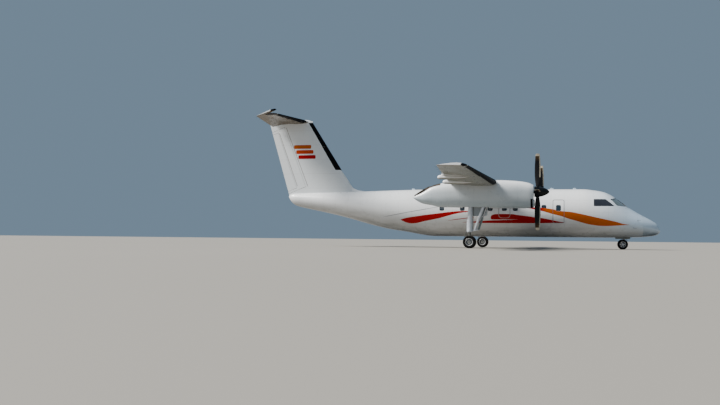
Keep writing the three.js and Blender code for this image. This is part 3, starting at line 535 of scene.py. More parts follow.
def to_object(name, material, *shapes):
    points, faces = merge(*shapes)
    mesh = bpy.data.meshes.new(name)
    mesh.from_pydata(points.tolist(), [], faces)
    work = bmesh.new()
    work.from_mesh(mesh)
    bmesh.ops.remove_doubles(work, verts=work.verts, dist=2e-5)
    bmesh.ops.dissolve_degenerate(work, edges=work.edges, dist=1e-6)
    bmesh.ops.recalc_face_normals(work, faces=work.faces)
    work.to_mesh(mesh)
    work.free()
    if material:
        mesh.materials.append(material)
    return linked(name, mesh)


def painted(obj, material):
    obj.data.materials.clear()
    obj.data.materials.append(material)
    return obj


def copied(obj, name):
    return linked(name, obj.data.copy())


def mirror_object(obj, name="twin"):
    twin = copied(obj, name)
    work = bmesh.new()
    work.from_mesh(twin.data)
    for vertex in work.verts:
        vertex.co.y = -vertex.co.y
    bmesh.ops.reverse_faces(work, faces=work.faces)
    work.to_mesh(twin.data)
    work.free()
    return twin


def carve(target, tool, operation="DIFFERENCE"):
    """The target less the tool, with it, or what both share. Cut faces take the tool's material."""
    modifier = target.modifiers.new("carve", "BOOLEAN")
    modifier.operation = operation
    modifier.object = tool
    modifier.solver = "EXACT"
    modifier.material_mode = "TRANSFER"
    graph = bpy.context.evaluated_depsgraph_get()
    mesh = bpy.data.meshes.new_from_object(target.evaluated_get(graph))
    target.modifiers.clear()
    target.data = mesh
    bpy.data.objects.remove(tool)
    return target


def cut(target, material, *shapes):
    return carve(target, to_object("tool", material, *shapes))


def dress(obj, replaces=(), body="airframe", angle=34):
    """The last step for a piece: its shading, its body and the nodes it stands for."""
    mesh = obj.data
    mesh.shade_smooth()
    mesh.set_sharp_from_angle(angle=math.radians(angle))
    weighted = obj.modifiers.new("normals", "WEIGHTED_NORMAL")
    weighted.keep_sharp = True
    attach(obj, body)
    if replaces:
        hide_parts(*replaces)


def dress_pair(obj, stem, replaces=(), body="airframe"):
    """A starboard piece and its mirror image. A star in a name stands for the side."""
    obj.name = stem.replace("*", "right")
    twin = mirror_object(obj, stem.replace("*", "left"))
    for piece, side in ((obj, "right"), (twin, "left")):
        dress(piece, [node.replace("*", side) for node in replaces], body.replace("*", side))


def add(name, material, shapes, replaces=(), body="airframe", angle=34):
    dress(to_object(name, material, *shapes), replaces, body, angle)


def add_pair(stem, material, shapes, replaces=(), body="airframe"):
    dress_pair(to_object(stem, material, *shapes), stem, replaces, body)


# Materials


def shader(name, **sockets):
    material = bpy.data.materials.new(name)
    material.use_nodes = True
    tree = material.node_tree
    surface = tree.nodes["Principled BSDF"]
    for key, value in sockets.items():
        surface.inputs[key.replace("_", " ")].default_value = value
    return material, tree, surface


def node(tree, kind, inputs=(), **settings):
    made = tree.nodes.new(kind)
    for key, value in settings.items():
        setattr(made, key, value)
    for key, value in dict(inputs).items():
        if hasattr(value, "is_output"):
            tree.links.new(value, made.inputs[key])
        else:
            made.inputs[key].default_value = value
    return made


def maths(tree, operation, *values):
    return node(tree, "ShaderNodeMath", enumerate(values), operation=operation).outputs[0]


def place_of(tree):
    return node(tree, "ShaderNodeTexCoord").outputs["Object"]


def split(tree, vector, axis):
    return node(tree, "ShaderNodeSeparateXYZ", {"Vector": vector}).outputs[axis]


def noise(tree, scale, detail, stretch=(1, 1, 1)):
    mapping = node(tree, "ShaderNodeMapping", {"Vector": place_of(tree), "Scale": stretch})
    made = node(tree, "ShaderNodeTexNoise", {"Vector": mapping.outputs[0], "Scale": scale, "Detail": detail})
    return made.outputs["Fac"]


def ranged(tree, value, low, high, new_low=0.0, new_high=1.0):
    inputs = {"Value": value, "From Min": low, "From Max": high, "To Min": new_low, "To Max": new_high}
    return node(tree, "ShaderNodeMapRange", inputs).outputs[0]


def spread(tree, pattern, low=0.0, high=1.0):
    """The middle of a noise pattern, stretched between two values."""
    return ranged(tree, pattern, 0.3, 0.7, low, high)


def mixed(tree, factor, *tones):
    first, second = (tone if hasattr(tone, "is_output") else (*tone, 1) for tone in tones)
    return node(tree, "ShaderNodeMix", {0: factor, 6: first, 7: second}, data_type="RGBA").outputs[2]


def bumped(tree, surface, height, strength, distance):
    made = node(tree, "ShaderNodeBump", {"Height": height, "Strength": strength, "Distance": distance})
    tree.links.new(made.outputs[0], surface.inputs["Normal"])


def finish(tree, surface, base, rough):
    tree.links.new(base, surface.inputs["Base Color"])
    tree.links.new(rough, surface.inputs["Roughness"])


def line_mask(tree, value, spacing, width):
    """1 on fine lines at an even spacing along a value, 0 between them."""
    distance = maths(tree, "PINGPONG", value, spacing / 2)
    return maths(tree, "LESS_THAN", distance, width / 2)


def scaled(colour, parts):
    return tuple(channel * part for channel, part in zip(colour, parts))


def mottled(tree, colour):
    return mixed(tree, noise(tree, 0.9, 5), colour, scaled(colour, (0.93, 0.93, 0.93)))


def satin(tree):
    return spread(tree, noise(tree, 3.5, 3), 0.24, 0.4)


# Stations between which the white turns to the nose's colour, white with painted blue shade
NOSE_FADE = (4.0, 1.5)
SEAM_WIDTH = 0.006


def paint(
    name, colour, seams=(), dirt=0.3, soil=(0.55, 0.54, 0.52), coat=0.0, shine=0.5, clean_and_lit=-0.05, dirty=-0.8,
    even=0.7, fore=None,
):
    """Gloss paint: faint mottling, painted shade with some grime on the surfaces that face downwards,
    painted blue shade towards the nose if asked, and the skin's panel seams.
    """
    material, tree, surface = shader(name, Coat_Weight=coat, Coat_Roughness=0.12, Specular_IOR_Level=shine)
    shade_and_grime = scaled(colour, soil)
    base = mottled(tree, colour)
    # Towards the nose the white turns to painted blue shade
    if fore:
        share = ranged(tree, split(tree, place_of(tree), "X"), *(NOSE_X - station for station in NOSE_FADE))
        base = mixed(tree, share, base, fore)
    # Surfaces that face downwards turn towards the darker colour: painted shade, broken by streaks of grime
    facing = split(tree, node(tree, "ShaderNodeNewGeometry").outputs["Normal"], "Z")
    streaks = ranged(tree, noise(tree, 2.2, 6, (0.35, 1.2, 1.2)), 0.35, 0.7, even)
    shaded_and_soiled = maths(tree, "MULTIPLY", ranged(tree, facing, clean_and_lit, dirty), streaks)
    base = mixed(tree, maths(tree, "MULTIPLY", shaded_and_soiled, dirt), base, shade_and_grime)
    mask = None
    for axis, spacing in seams:
        line = line_mask(tree, split(tree, place_of(tree), axis), spacing, SEAM_WIDTH)
        mask = maths(tree, "MAXIMUM", mask, line) if mask else line
    if mask:
        base = mixed(tree, maths(tree, "MULTIPLY", mask, 0.45), base, shade_and_grime)
        bumped(tree, surface, mask, 0.25, -0.002)
    finish(tree, surface, base, satin(tree))
    return material


def fading_paint(name, first, second, start, end):
    """Stripe paint that changes from one colour to another between two stations."""
    material, tree, surface = shader(name, Specular_IOR_Level=0.12)
    share = ranged(tree, split(tree, place_of(tree), "X"), NOSE_X - start, NOSE_X - end)
    finish(tree, surface, mixed(tree, share, mottled(tree, first), mottled(tree, second)), satin(tree))
    return material


def plain(name, colour, second, scale, rough, bump=0.0, metal=0.0, **more):
    """A material that wanders between two colours, with its roughness and relief."""
    material, tree, surface = shader(name, Metallic=metal, **more)
    pattern = noise(tree, scale, 6)
    finish(tree, surface, mixed(tree, spread(tree, pattern), colour, second), spread(tree, pattern, *rough))
    if bump:
        bumped(tree, surface, pattern, 0.5, bump)
    return material


def blade_material():
    """Black blades with a pale band at their tips, found by the distance from the hub."""
    material, tree, surface = shader("blade_black", Specular_IOR_Level=0.12)
    y, z = (split(tree, place_of(tree), axis) for axis in "YZ")
    across = maths(tree, "SUBTRACT", maths(tree, "ABSOLUTE", y), -NACELLE_Y)
    up = maths(tree, "SUBTRACT", z, float(HUB[2]))
    squares = [maths(tree, "POWER", side, 2) for side in (across, up)]
    radius = maths(tree, "SQRT", maths(tree, "ADD", *squares))
    worn = noise(tree, 30, 5)
    black = mixed(tree, worn, (0.004, 0.004, 0.005), (0.014, 0.014, 0.015))
    tips = mixed(tree, worn, (0.5, 0.44, 0.34), (0.4, 0.35, 0.26))
    below_tip = mixed(tree, ranged(tree, radius, 1.58, 1.78, 0, 0.55), black, (0.09, 0.055, 0.022))
    base = mixed(tree, maths(tree, "GREATER_THAN", radius, 1.85), below_tip, tips)
    finish(tree, surface, base, spread(tree, worn, 0.32, 0.5))
    bumped(tree, surface, worn, 0.15, 0.001)
    return material


def glass(name, dark, light):
    material, tree, surface = shader(name, Specular_IOR_Level=0.8, Coat_Weight=1.0, Coat_Roughness=0.03)
    base = mixed(tree, noise(tree, 1.6, 2), dark, light)
    finish(tree, surface, base, spread(tree, noise(tree, 12, 3), 0.04, 0.12))
    return material


WHITE = (0.82, 0.83, 0.84)
# White with painted blue shade, as the nose's shaded side looks
NOSE_WHITE_AND_PAINTED_SKY = (0.50, 0.62, 0.74)
TAIL_WHITE = (0.72, 0.75, 0.77)
RED = (0.36, 0.0005, 0.001)
AMBER = (0.43, 0.08, 0.0)
ORANGE = (0.48, 0.04, 0.0005)
# The fuselage darkens where it faces downwards: painted shade, with some grime
BODY_LOOK = {"seams": (("X", 0.762), ("Z", 0.66)), "dirt": 0.95, "soil": (0.34, 0.34, 0.33), "coat": 0.35}
UNDER_LOOK = {"dirt": 1.0, "dirty": -0.6, "even": 0.95}
body_paint = paint("body_paint", WHITE, **BODY_LOOK)
# The front fuselage's white turns to painted blue shade towards the nose
front_paint = paint("front_paint", WHITE, **BODY_LOOK, fore=NOSE_WHITE_AND_PAINTED_SKY)
# Wing and tail undersides turn dark warm brown: painted shade, with some grime
wing_paint = paint("wing_paint", WHITE, (("Y", 0.95),), soil=(0.15, 0.145, 0.10), coat=0.2, **UNDER_LOOK)
tail_paint = paint(
    "tail_paint", TAIL_WHITE, (("Z", 0.85),), soil=(0.12, 0.075, 0.03), coat=0.05, shine=0.25, **UNDER_LOOK
)
# The nacelles turn blue-grey on their sides and undersides: painted shade lit blue by the sky, with some
# grime
nacelle_paint = paint(
    "nacelle_paint", WHITE, (("X", 0.74),), 0.78, (0.27, 0.37, 0.43), 0.35, clean_and_lit=0.9, dirty=-0.4, even=0.9
)
# Radome, intake lips and antennas: white with painted blue shade, darker where they face downwards as
# painted shade
nose_paint = paint("nose_paint", NOSE_WHITE_AND_PAINTED_SKY, dirt=1.0, soil=(0.2, 0.2, 0.2), coat=0.35)
red_paint = paint("red_paint", RED, shine=0.12)
amber_paint = paint("amber_paint", AMBER, shine=0.12)
orange_paint = paint("orange_paint", ORANGE, shine=0.12)
red_to_amber = fading_paint("red_to_amber_paint", RED, AMBER, 6.28, 6.0)
grey_line = paint("grey_line", (0.16, 0.17, 0.19), dirt=0.2)
pale_line = paint("pale_line", (0.45, 0.42, 0.40), dirt=0.2)
cabin_glass = glass("cabin_glass", (0.004, 0.011, 0.019), (0.013, 0.032, 0.052))
side_glass = glass("side_glass", (0.006, 0.006, 0.009), (0.02, 0.02, 0.028))
screen_glass = glass("screen_glass", (0.07, 0.1, 0.11), (0.15, 0.19, 0.2))
blade_black = blade_material()
# Name, two colours, how fine the pattern is, roughness at its ends, relief, metal
seal = plain("window_seal", (0.02, 0.02, 0.022), (0.045, 0.045, 0.048), 40, (0.5, 0.75), 0.0005)
hinge_grey = plain("hinge_seal_grey", (0.2, 0.195, 0.19), (0.3, 0.29, 0.28), 12, (0.6, 0.8))
groove = plain("groove_shadow", (0.05, 0.05, 0.055), (0.11, 0.11, 0.115), 12, (0.6, 0.8))
edge_metal = plain("edge_metal", (0.42, 0.38, 0.3), (0.3, 0.27, 0.21), 14, (0.35, 0.55), 0, 0.4)
# The inner brace arm: the leg's grey darkened as painted shade
strut_shade = plain("strut_shade", (0.2, 0.25, 0.26), (0.13, 0.165, 0.17), 7, (0.4, 0.6), 0.0004)
strut_dark = plain("strut_dark", (0.10, 0.11, 0.10), (0.18, 0.18, 0.16), 14, (0.45, 0.7), 0.001, 0.3)
chrome = plain("piston_chrome", (0.5, 0.51, 0.53), (0.38, 0.39, 0.42), 60, (0.08, 0.2), 0, 1.0)
rim_metal = plain("rim_metal", (0.5, 0.51, 0.52), (0.34, 0.35, 0.36), 22, (0.35, 0.55), 0.0005, 0.25)
# The recess of the wheel discs: rim metal darkened as painted shade
rim_shade = plain("rim_shade", (0.15, 0.155, 0.165), (0.085, 0.088, 0.095), 22, (0.45, 0.65), 0.0005, 0.2)
burnt_metal = plain("burnt_metal", (0.02, 0.018, 0.016), (0.10, 0.075, 0.055), 5, (0.4, 0.7), 0.001, 0.7)
engine_metal = plain("engine_metal", (0.30, 0.31, 0.32), (0.16, 0.16, 0.17), 15, (0.35, 0.6), 0.001, 0.8)
step_metal = plain("step_metal", (0.30, 0.31, 0.32), (0.2, 0.2, 0.21), 80, (0.4, 0.7), 0.001, 0.7)
# Grey of the wheel bays, also painted shade on the nose gear doors
bay_grey = plain("bay_grey", (0.16, 0.17, 0.155), (0.09, 0.095, 0.085), 6, (0.5, 0.8), 0.001)
lining = plain("cabin_lining", (0.52, 0.5, 0.46), (0.45, 0.43, 0.39), 8, (0.55, 0.75), 0.0005)
carpet = plain("carpet", (0.03, 0.04, 0.065), (0.06, 0.07, 0.10), 90, (0.85, 1.0), 0.003)
BLACK_BOOT = (0.0008, 0.0012, 0.002), (0.003, 0.004, 0.006)
boot_rubber = plain("boot_rubber", *BLACK_BOOT, 9, (0.5, 0.7), 0.001, Specular_IOR_Level=0.06)
BLACK_TYRE = (0.003, 0.003, 0.0035), (0.01, 0.0095, 0.009)
tyre_rubber = plain("tyre_rubber", *BLACK_TYRE, 18, (0.75, 0.95), 0.0015, Specular_IOR_Level=0.1)
BLACK_PAINT = (0.002, 0.003, 0.004), (0.006, 0.007, 0.009)
spinner_black = plain("spinner_black", *BLACK_PAINT, 6, (0.25, 0.4), Specular_IOR_Level=0.2)
LEG_GREY = (0.62, 0.66, 0.72), (0.5, 0.54, 0.6)
strut_grey = plain("strut_grey", *LEG_GREY, 7, (0.28, 0.5), 0.0004, Coat_Weight=0.2)
lamp_red = plain("lamp_red", (0.6, 0.01, 0.01), (0.4, 0.01, 0.01), 20, (0.08, 0.15), Coat_Weight=1.0)
lamp_green = plain("lamp_green", (0.01, 0.35, 0.08), (0.01, 0.22, 0.05), 20, (0.08, 0.15), Coat_Weight=1.0)

# Floor

FLOOR_REACH = 600
FLOOR_DEPTH = 0.5


def add_floor():
    material, tree, surface = shader("studio_floor", Roughness=0.9)
    tone = mixed(tree, noise(tree, 0.05, 3), (0.29, 0.27, 0.24), (0.265, 0.248, 0.22))
    tree.links.new(tone, surface.inputs["Base Color"])
    corner = np.array([FLOOR_REACH, FLOOR_REACH, -0.0005])
    to_object("floor", material, block((-FLOOR_REACH, -FLOOR_REACH, -FLOOR_DEPTH), corner))


add_floor()

# Openings and panes of the fuselage

WINDOW = {"width": 0.27, "low": 2.05, "high": 2.385, "corner": 0.085}


def window_outline(station):
    half = WINDOW["width"] / 2
    outline = rectangle(station - half, station + half, WINDOW["low"], WINDOW["high"])
    return rounded(outline, WINDOW["corner"], 0.05)


# None lies in the propellers' plane, and one is in the second exit
CABIN_WINDOWS = [window_outline(s) for s in (6.145, 7.675, 8.27, 9.045, 9.81, 10.575, 11.72)]
EXIT_WINDOW = window_outline(5.37)
# Start, end, low, high
EXIT = (5.09, 5.65, 1.43, 2.65)
PASSENGER_DOOR = (4.25, 5.01, 1.1, 2.75)
EXIT_OUTLINE = rounded(rectangle(*EXIT), 0.07)
SECOND_EXIT_OUTLINE = rounded(rectangle(7.97, 8.57, 1.68, 2.71), 0.19)
DOOR_OUTLINE = rounded(rectangle(*PASSENGER_DOOR), 0.09)
HATCH_OUTLINE = rounded(rectangle(13.15, 14.42, 1.33, 2.85), 0.1)
SIDE_PANE = rounded([(2.42, 2.335), (3.515, 2.32), (3.515, 2.72), (2.88, 2.72)], 0.05)
FRONT_PANE = rounded([(0.06, 2.36), (0.64, 2.33), (0.93, 2.36), (0.80, 2.73), (0.06, 2.83)], 0.05)
DOOR_GAP = 0.012
PANEL_GAP = 0.006
PANEL_DEPTH = 0.085
VESTIBULE_SIDE = -0.7
DOORWAY_REACH = 1.6
SILL_RADIUS = 0.026
POCKET = 0.022
PROUD = 0.05
BODY_AROUND = 112
NOSE_BAY = ((2.35, 0.4), (1.50, 1.25))


def pockets(outlines, place, depth=POCKET, rings=5):
    return [patch(outline, place, -depth, PROUD, rings) for outline in outlines]


def through(outline, place, rings=10):
    return patch(outline, place, -PROUD, PROUD, rings)


# Clear of the opening's edge, then the levels of the inner and the outer face
PANE = {"clear": 0.008, "inner": -0.02, "outer": -0.009}
PANE_SEAL = {"clear": 0.001, "inner": -0.021, "outer": -0.003, "width": 0.022}


def add_panes(name, outlines, place, glass_type, replaces=()):
    """The glass of some windows, set into their pockets, and the seals round it."""
    clear, *levels = PANE.values()
    panes = [patch(grown(outline, -clear), place, *levels) for outline in outlines]
    add(name + "_panes", glass_type, panes, replaces)
    clear, *levels, width = PANE_SEAL.values()
    seals = [rim(grown(outline, -clear), width, place, *levels) for outline in outlines]
    add(name + "_seals", seal, seals)


def body_piece(start, end, step):
    return loft(egg_rings(BODY, stations_between(start, end, step), circle(BODY_AROUND)))


def add_front_fuselage():
    stations = np.linspace(0, math.sqrt(RADOME_END - SEAM), 24) ** 2
    cone = loft(egg_rings(BODY, stations, circle(BODY_AROUND)))
    add("nose_cone", nose_paint, [cone], ["radome"])
    front = to_object("front_fuselage", front_paint, body_piece(RADOME_END, FRONT_END - SEAM, 0.07))
    doorway = [(station_of(station), height) for station, height in grown(DOOR_OUTLINE, DOOR_GAP)]
    cut(front, lining, prism(doorway, VESTIBULE_SIDE, DOORWAY_REACH, sideways))
    # Room for the foot of the door to turn in, where the doorway's corners are round
    sill = [(station_of(end) - way * DOOR_GAP, *DOOR_HINGE[1:]) for end, way in zip(PASSENGER_DOOR, (-1, 1))]
    cut(front, groove, rod(*sill, SILL_RADIUS, segments=40))
    sides = [corner[1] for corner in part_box("nose_leg")]
    cut(front, bay_grey, block(*[(station_of(s), y, z) for (s, z), y in zip(NOSE_BAY, sides)]))
    panes = []
    for side in (-1, 1):
        panes += pockets([SIDE_PANE], side_skin(side)) + pockets([FRONT_PANE], front_skin(side), rings=8)
    cut(front, seal, *panes, *pockets([EXIT_WINDOW], side_skin(1)))
    cut(front, groove, *pockets([grown(EXIT_OUTLINE, PANEL_GAP)], side_skin(-1), 0.09, 8))
    dress(front, ["fuselage_front"])


def add_fuselage():
    add_front_fuselage()
    centre = to_object("centre_fuselage", body_paint, body_piece(FRONT_END, CENTRE_END - SEAM, 0.3))
    places = [side_skin(side) for side in (-1, 1)]
    cut(centre, seal, *[pocket for place in places for pocket in pockets(CABIN_WINDOWS, place)])
    cut(centre, groove, *[rim(SECOND_EXIT_OUTLINE, 0.01, place, -0.01, 0.02) for place in places])
    dress(centre, ["fuselage_centre"])

    rear = to_object("rear_fuselage", body_paint, body_piece(CENTRE_END, TAIL_END, 0.12))
    cut(rear, groove, *pockets([grown(HATCH_OUTLINE, PANEL_GAP)], side_skin(1), 0.09, 10))
    dress(rear, ["fuselage_rear"])


def add_body_panels():
    panel = to_object("exit_panel", body_paint, patch(EXIT_OUTLINE, side_skin(-1), -PANEL_DEPTH, 0, 10))
    cut(panel, seal, *pockets([EXIT_WINDOW], side_skin(-1)))
    dress(panel, ["emergency_exit"])
    hatch = patch(HATCH_OUTLINE, side_skin(1), -PANEL_DEPTH, 0, 12)
    add("baggage_hatch", body_paint, [hatch], ["baggage_door"])
    for name, side in SIDES:
        skin, front = side_skin(side), front_skin(side)
        add_panes("cabin_" + name, [EXIT_WINDOW] + CABIN_WINDOWS, skin, cabin_glass)
        add_panes("cockpit_side_" + name, [SIDE_PANE], skin, side_glass, ["side_window_" + name])
        add_panes("cockpit_front_" + name, [FRONT_PANE], front, screen_glass, ["windshield_" + name])


def in_door_plane(angle):
    """A direction in the door's swing plane, as it is with the door open, turned back to shut."""
    turn = math.radians(angle + 115)
    return np.array([math.cos(turn), math.sin(turn)])


# Steps and rails of the door, when it is shut. A tread and a riser each have a length and a thickness
STEP_HEIGHTS = (1.36, 1.64, 1.92, 2.20, 2.48)
TREAD = (0.24, 0.022)
RISER = (0.11, 0.018)
RISER_AT = 0.22
STEP_DEPTH = 0.075
STEP_SPARE = 0.09
RAIL_HEIGHTS = (1.3, 1.7, 2.1, 2.5)
RAIL_DEPTH = 0.12
RAIL_RADIUS = 0.014
DOOR_MIDDLE = 4.63
PIN = {"inset": 0.06, "length": 0.09, "radius": 0.006}


def add_passenger_door():
    place, body = side_skin(1), "passenger_door"
    add("door_leaf", body_paint, [patch(DOOR_OUTLINE, place, -0.06, 0, 12)], ["passenger_door"], body)
    add("door_lining", lining, [patch(grown(DOOR_OUTLINE, -0.03), place, -0.075, -0.055, 12)], (), body)
    start, end, low, _ = PASSENGER_DOOR
    near, far = start + STEP_SPARE, end - STEP_SPARE
    flat, drop = in_door_plane(0), in_door_plane(-90)
    treads = []
    for height in STEP_HEIGHTS:
        root = skin_point(place, DOOR_MIDDLE, height, -STEP_DEPTH)[1:]
        for corner, along, across, (length, thick) in (
            (root, flat, drop, TREAD),
            (root + flat * RISER_AT, drop, flat, RISER),
        ):
            long, short = along * length, across * thick
            outline = [corner, corner + long, corner + long + short, corner + short]
            treads.append(prism(outline, far, near, lengthways))
    add("door_steps", step_metal, treads, (), body)
    points = [skin_point(place, DOOR_MIDDLE, height, -RAIL_DEPTH)[1:] for height in RAIL_HEIGHTS]
    rails = [
        rod((station_of(s), *a), (station_of(s), *b), RAIL_RADIUS, segments=12)
        for s in (far + 0.03, near - 0.03)
        for a, b in zip(points[:-1], points[1:])
    ]
    add("door_rails", chrome, rails, (), body)
    inset, length, radius = PIN.values()
    pins = [
        rod((station_of(s), *DOOR_HINGE[1:]), (station_of(s) + reach, *DOOR_HINGE[1:]), radius)
        for s, reach in ((start + inset, length), (end - inset, -length))
    ]
    add("door_pins", chrome, pins, (), body)
    floor_z = low - DOOR_GAP
    corners = (end + 0.008, VESTIBULE_SIDE + 0.004, floor_z - 0.004), (start - 0.008, 0.9, floor_z + 0.008)
    add("vestibule_carpet", carpet, [block(*[(station_of(s), y, z) for s, y, z in corners])])


# Livery: name, paint, and rows of station, lower edge, upper edge
STRIPES = (
    ("amber_stripe", red_to_amber, [
        (1.65, 1.336, 1.34), (1.96, 1.313, 1.376), (2.28, 1.292, 1.469), (2.6, 1.272, 1.545),
        (2.9, 1.262, 1.615), (3.23, 1.27, 1.684), (3.54, 1.309, 1.754), (3.86, 1.367, 1.828),
        (4.49, 1.549, 1.969), (4.81, 1.636, 2.019), (5.24, 1.783, 2.053), (5.66, 1.886, 2.153),
        (6.09, 2.013, 2.212), (6.5, 2.113, 2.243), (6.94, 2.199, 2.239),
    ]),
    ("red_stripe", red_paint, [
        (5.05, 1.437, 1.443), (5.31, 1.422, 1.479), (5.8, 1.406, 1.58), (6.26, 1.395, 1.668),
        (6.66, 1.39, 1.716), (7.03, 1.386, 1.769), (7.49, 1.384, 1.822),
    ]),
    ("red_stripe_upper", red_paint, [
        (7.49, 1.588, 1.822), (7.64, 1.59, 1.842), (7.8, 1.591, 1.871), (8.58, 1.581, 1.885),
        (8.82, 1.578, 1.86), (8.95, 1.584, 1.81), (9.01, 1.62, 1.74),
    ]),
    ("red_stripe_lower", red_paint, [
        (7.49, 1.384, 1.587), (8.0, 1.384, 1.566), (8.52, 1.383, 1.546), (9.0, 1.383, 1.529),
        (9.41, 1.385, 1.508), (10.0, 1.4, 1.465), (10.57, 1.416, 1.422),
    ]),
    ("red_leaf", red_paint, [
        (10.17, 2.005, 2.045), (10.77, 1.925, 2.032), (11.4, 1.77, 1.972), (11.81, 1.652, 1.918),
        (12.28, 1.549, 1.86), (12.71, 1.464, 1.808), (13.21, 1.354, 1.732), (13.45, 1.334, 1.7),
        (13.7, 1.375, 1.655), (13.93, 1.461, 1.6), (14.09, 1.544, 1.548),
    ]),
    ("red_hairline", red_paint, [
        (9.92, 1.688, 1.706), (10.33, 1.632, 1.668), (10.88, 1.562, 1.597), (11.38, 1.51, 1.518),
    ]),
    ("grey_hairline", grey_line, [
        (11.71, 2.304, 2.31), (12.63, 2.133, 2.155), (13.69, 1.945, 1.969), (14.73, 1.756, 1.78),
        (15.09, 1.695, 1.7),
    ]),
)
# Levels of a stripe's outer and inner face
STRIPE_LEVELS = (0.0025, -0.003)


def stripe(rows, place):
    stations = stations_between(rows[0][0], rows[-1][0], 0.05)
    lower, upper = Smooth(rows)(stations).T[:, :, None]
    height = lower + (upper - lower) * np.linspace(0, 1, 7)
    station = stations[:, None] + 0 * height
    grids = [place(station.ravel(), height.ravel(), lift) for lift in STRIPE_LEVELS]
    return slab(*[grid.reshape(*height.shape, 3) for grid in grids])


def add_stripe(name, material, rows, side_name, side):
    place = side_skin(side)
    start, end = rows[0][0], rows[-1][0]
    obj = to_object(f"{name}_{side_name}", material, stripe(rows, place))
    if name == "amber_stripe":
        cut(obj, material, through(grown(EXIT_WINDOW, 0.006), place, 5))
    if side > 0 and start < PASSENGER_DOOR[1]:
        on_door = copied(obj, name + "_door")
        carve(on_door, to_object("tool", material, through(DOOR_OUTLINE, place)), "INTERSECT")
        dress(on_door, body="passenger_door")
        cut(obj, material, through(grown(DOOR_OUTLINE, DOOR_GAP), place))
    if side < 0 and start < EXIT[1] and end > EXIT[0]:
        cut(obj, material, rim(grown(EXIT_OUTLINE, 0.008), 0.008, place, -PROUD, PROUD))
    dress(obj)


def add_livery():
    for side_name, side in SIDES:
        for row in STRIPES:
            add_stripe(*row, side_name, side)
        line = rim(grown(SECOND_EXIT_OUTLINE, 0.026), 0.022, side_skin(side), 0.0028, 0.0045)
        add("second_exit_outline_" + side_name, pale_line, [line])
    line = rim(grown(EXIT_OUTLINE, 0.028), 0.018, side_skin(-1), -0.001, 0.0035)
    add("exit_outline", grey_line, [line])


# Lifting surfaces

# Hinge lines: near and far end, each along the surface and its station
AILERON_HINGE = ((9.25, 10.36), (12.35, 10.155))
INNER_FLAP_HINGE = ((1.42, 10.2), (3.36, 10.2))
OUTER_FLAP_HINGE = ((WING_JOINT + 0.02, 10.2), (9.18, 10.075))
RUDDER_HINGE = ((3.48, 19.99), (7.02, 21.35))
TRIM_RUDDER_HINGE = ((3.4, 20.56), (6.7, 21.736))
ELEVATOR_HINGE = ((0.33, 21.18), (3.68, 21.37))
ELEVATOR_DROOP = 20
HORN_REACH = 1.2
SWING_GAP = 0.009
END_GAP = 0.014
FLAP_GAP = 0.004
FLAP_LEVELS = (3.0, 4.2)
CUT_DEPTH = 0.4
CUT_REACH = 2.5
BOOT_LIFT = 0.003
# How far back the boots of the tips reach, as a share of the chord. They cover the tips' end faces too
WING_TIP_REACH = 0.14
HORN_TIP_REACH = 0.17
# Boots: near end, far end, share of the chord, step between sections
WING_BOOTS = (
    (4.75, 8.603, 0.085, 0.25),
    (8.607, 12.56, 0.1, 0.25),
    (1.5, 3.3, 0.06, 0.25),
    (12.74, HALF_SPAN, WING_TIP_REACH, 0.01),
)
FIN_BOOTS = ((4.46, 5.848, 0.092, 0.25), (5.852, 7.27, 0.088, 0.25))
TAILPLANE_BOOTS = ((0.33, 2.0, 0.12, 0.25), (2.004, 3.6, 0.14, 0.25))
HORN_BOOTS = ((3.74, TAILPLANE[-1, 0], HORN_TIP_REACH, 0.02),)
# Flap track fairings: along the wing, hinge, size
FAIRINGS = (
    (6.1, OUTER_FLAP_HINGE, 1.0),
    (8.55, OUTER_FLAP_HINGE, 1.0),
    (9.16, OUTER_FLAP_HINGE, 0.45),
    (2.4, INNER_FLAP_HINGE, 1.0),
)
# Seals of the rudders: name, hinge, low end, high end, body
RUDDER_SEALS = (
    ("rudder_seals", RUDDER_HINGE, 3.5, 7.0, "airframe"),
    ("rear_rudder_seals", TRIM_RUDDER_HINGE, 3.52, 6.68, "rudder_fore"),
)
SEAL_WIDTH = 0.035
SEAL_GAP = 0.004


def hinge_tool(rows, place, hinge, spare, grow, has_horn):
    """What lies behind a hinge line, with a round nose about it, and beyond its far end for a horn."""
    (level_a, half_a), (level_b, half_b) = (skin_level(rows, *end) for end in hinge)
    a, b = np.array([*hinge[0], level_a]), np.array([*hinge[1], level_b])
    step = (b - a) / np.linalg.norm((b - a)[:2])
    aft = np.array([-step[1], step[0], 0])

    def at(end, outwards, back, rise=None):
        point = end + step * outwards + aft * back
        return place(*point[:2], point[2] if rise is None else a[2] + rise)

    def box(depth, *corners):
        rings = [[at(*corner, rise) for corner in corners] for rise in (-depth, depth)]
        return to_object("box", None, loft(rings))

    tool = box(CUT_DEPTH, (a, -spare, 0), (b, spare, 0), (b, spare, CUT_REACH), (a, -spare, CUT_REACH))
    if has_horn:
        corners = rectangle(-spare, HORN_REACH, -HORN_REACH, CUT_REACH)
        carve(tool, box(CUT_DEPTH + 0.05, *[(b, *corner) for corner in corners]), "UNION")
    nose = rod(at(a, -spare, 0), at(b, spare, 0), half_a + grow, half_b + grow, 0, 56)
    return carve(tool, to_object("nose", None, nose), "UNION")


def moving_surface(whole, name, rows, place, hinge, has_horn=False):
    return carve(copied(whole, name), hinge_tool(rows, place, hinge, 0, MM, has_horn), "INTERSECT")


def make_space(target, rows, place, hinge, has_horn=False):
    return carve(target, painted(hinge_tool(rows, place, hinge, END_GAP, SWING_GAP + MM, has_horn), groove))


def flap_tool(hinge, gap, reach=1.5):
    (near, station), (far, far_station) = hinge
    near, far = near - gap, far + gap
    corners = [(near, station - gap), (far, far_station - gap)]
    corners += [(far, far_station + reach), (near, station + reach)]
    return to_object("tool", groove, prism(corners, *FLAP_LEVELS, on_wing))


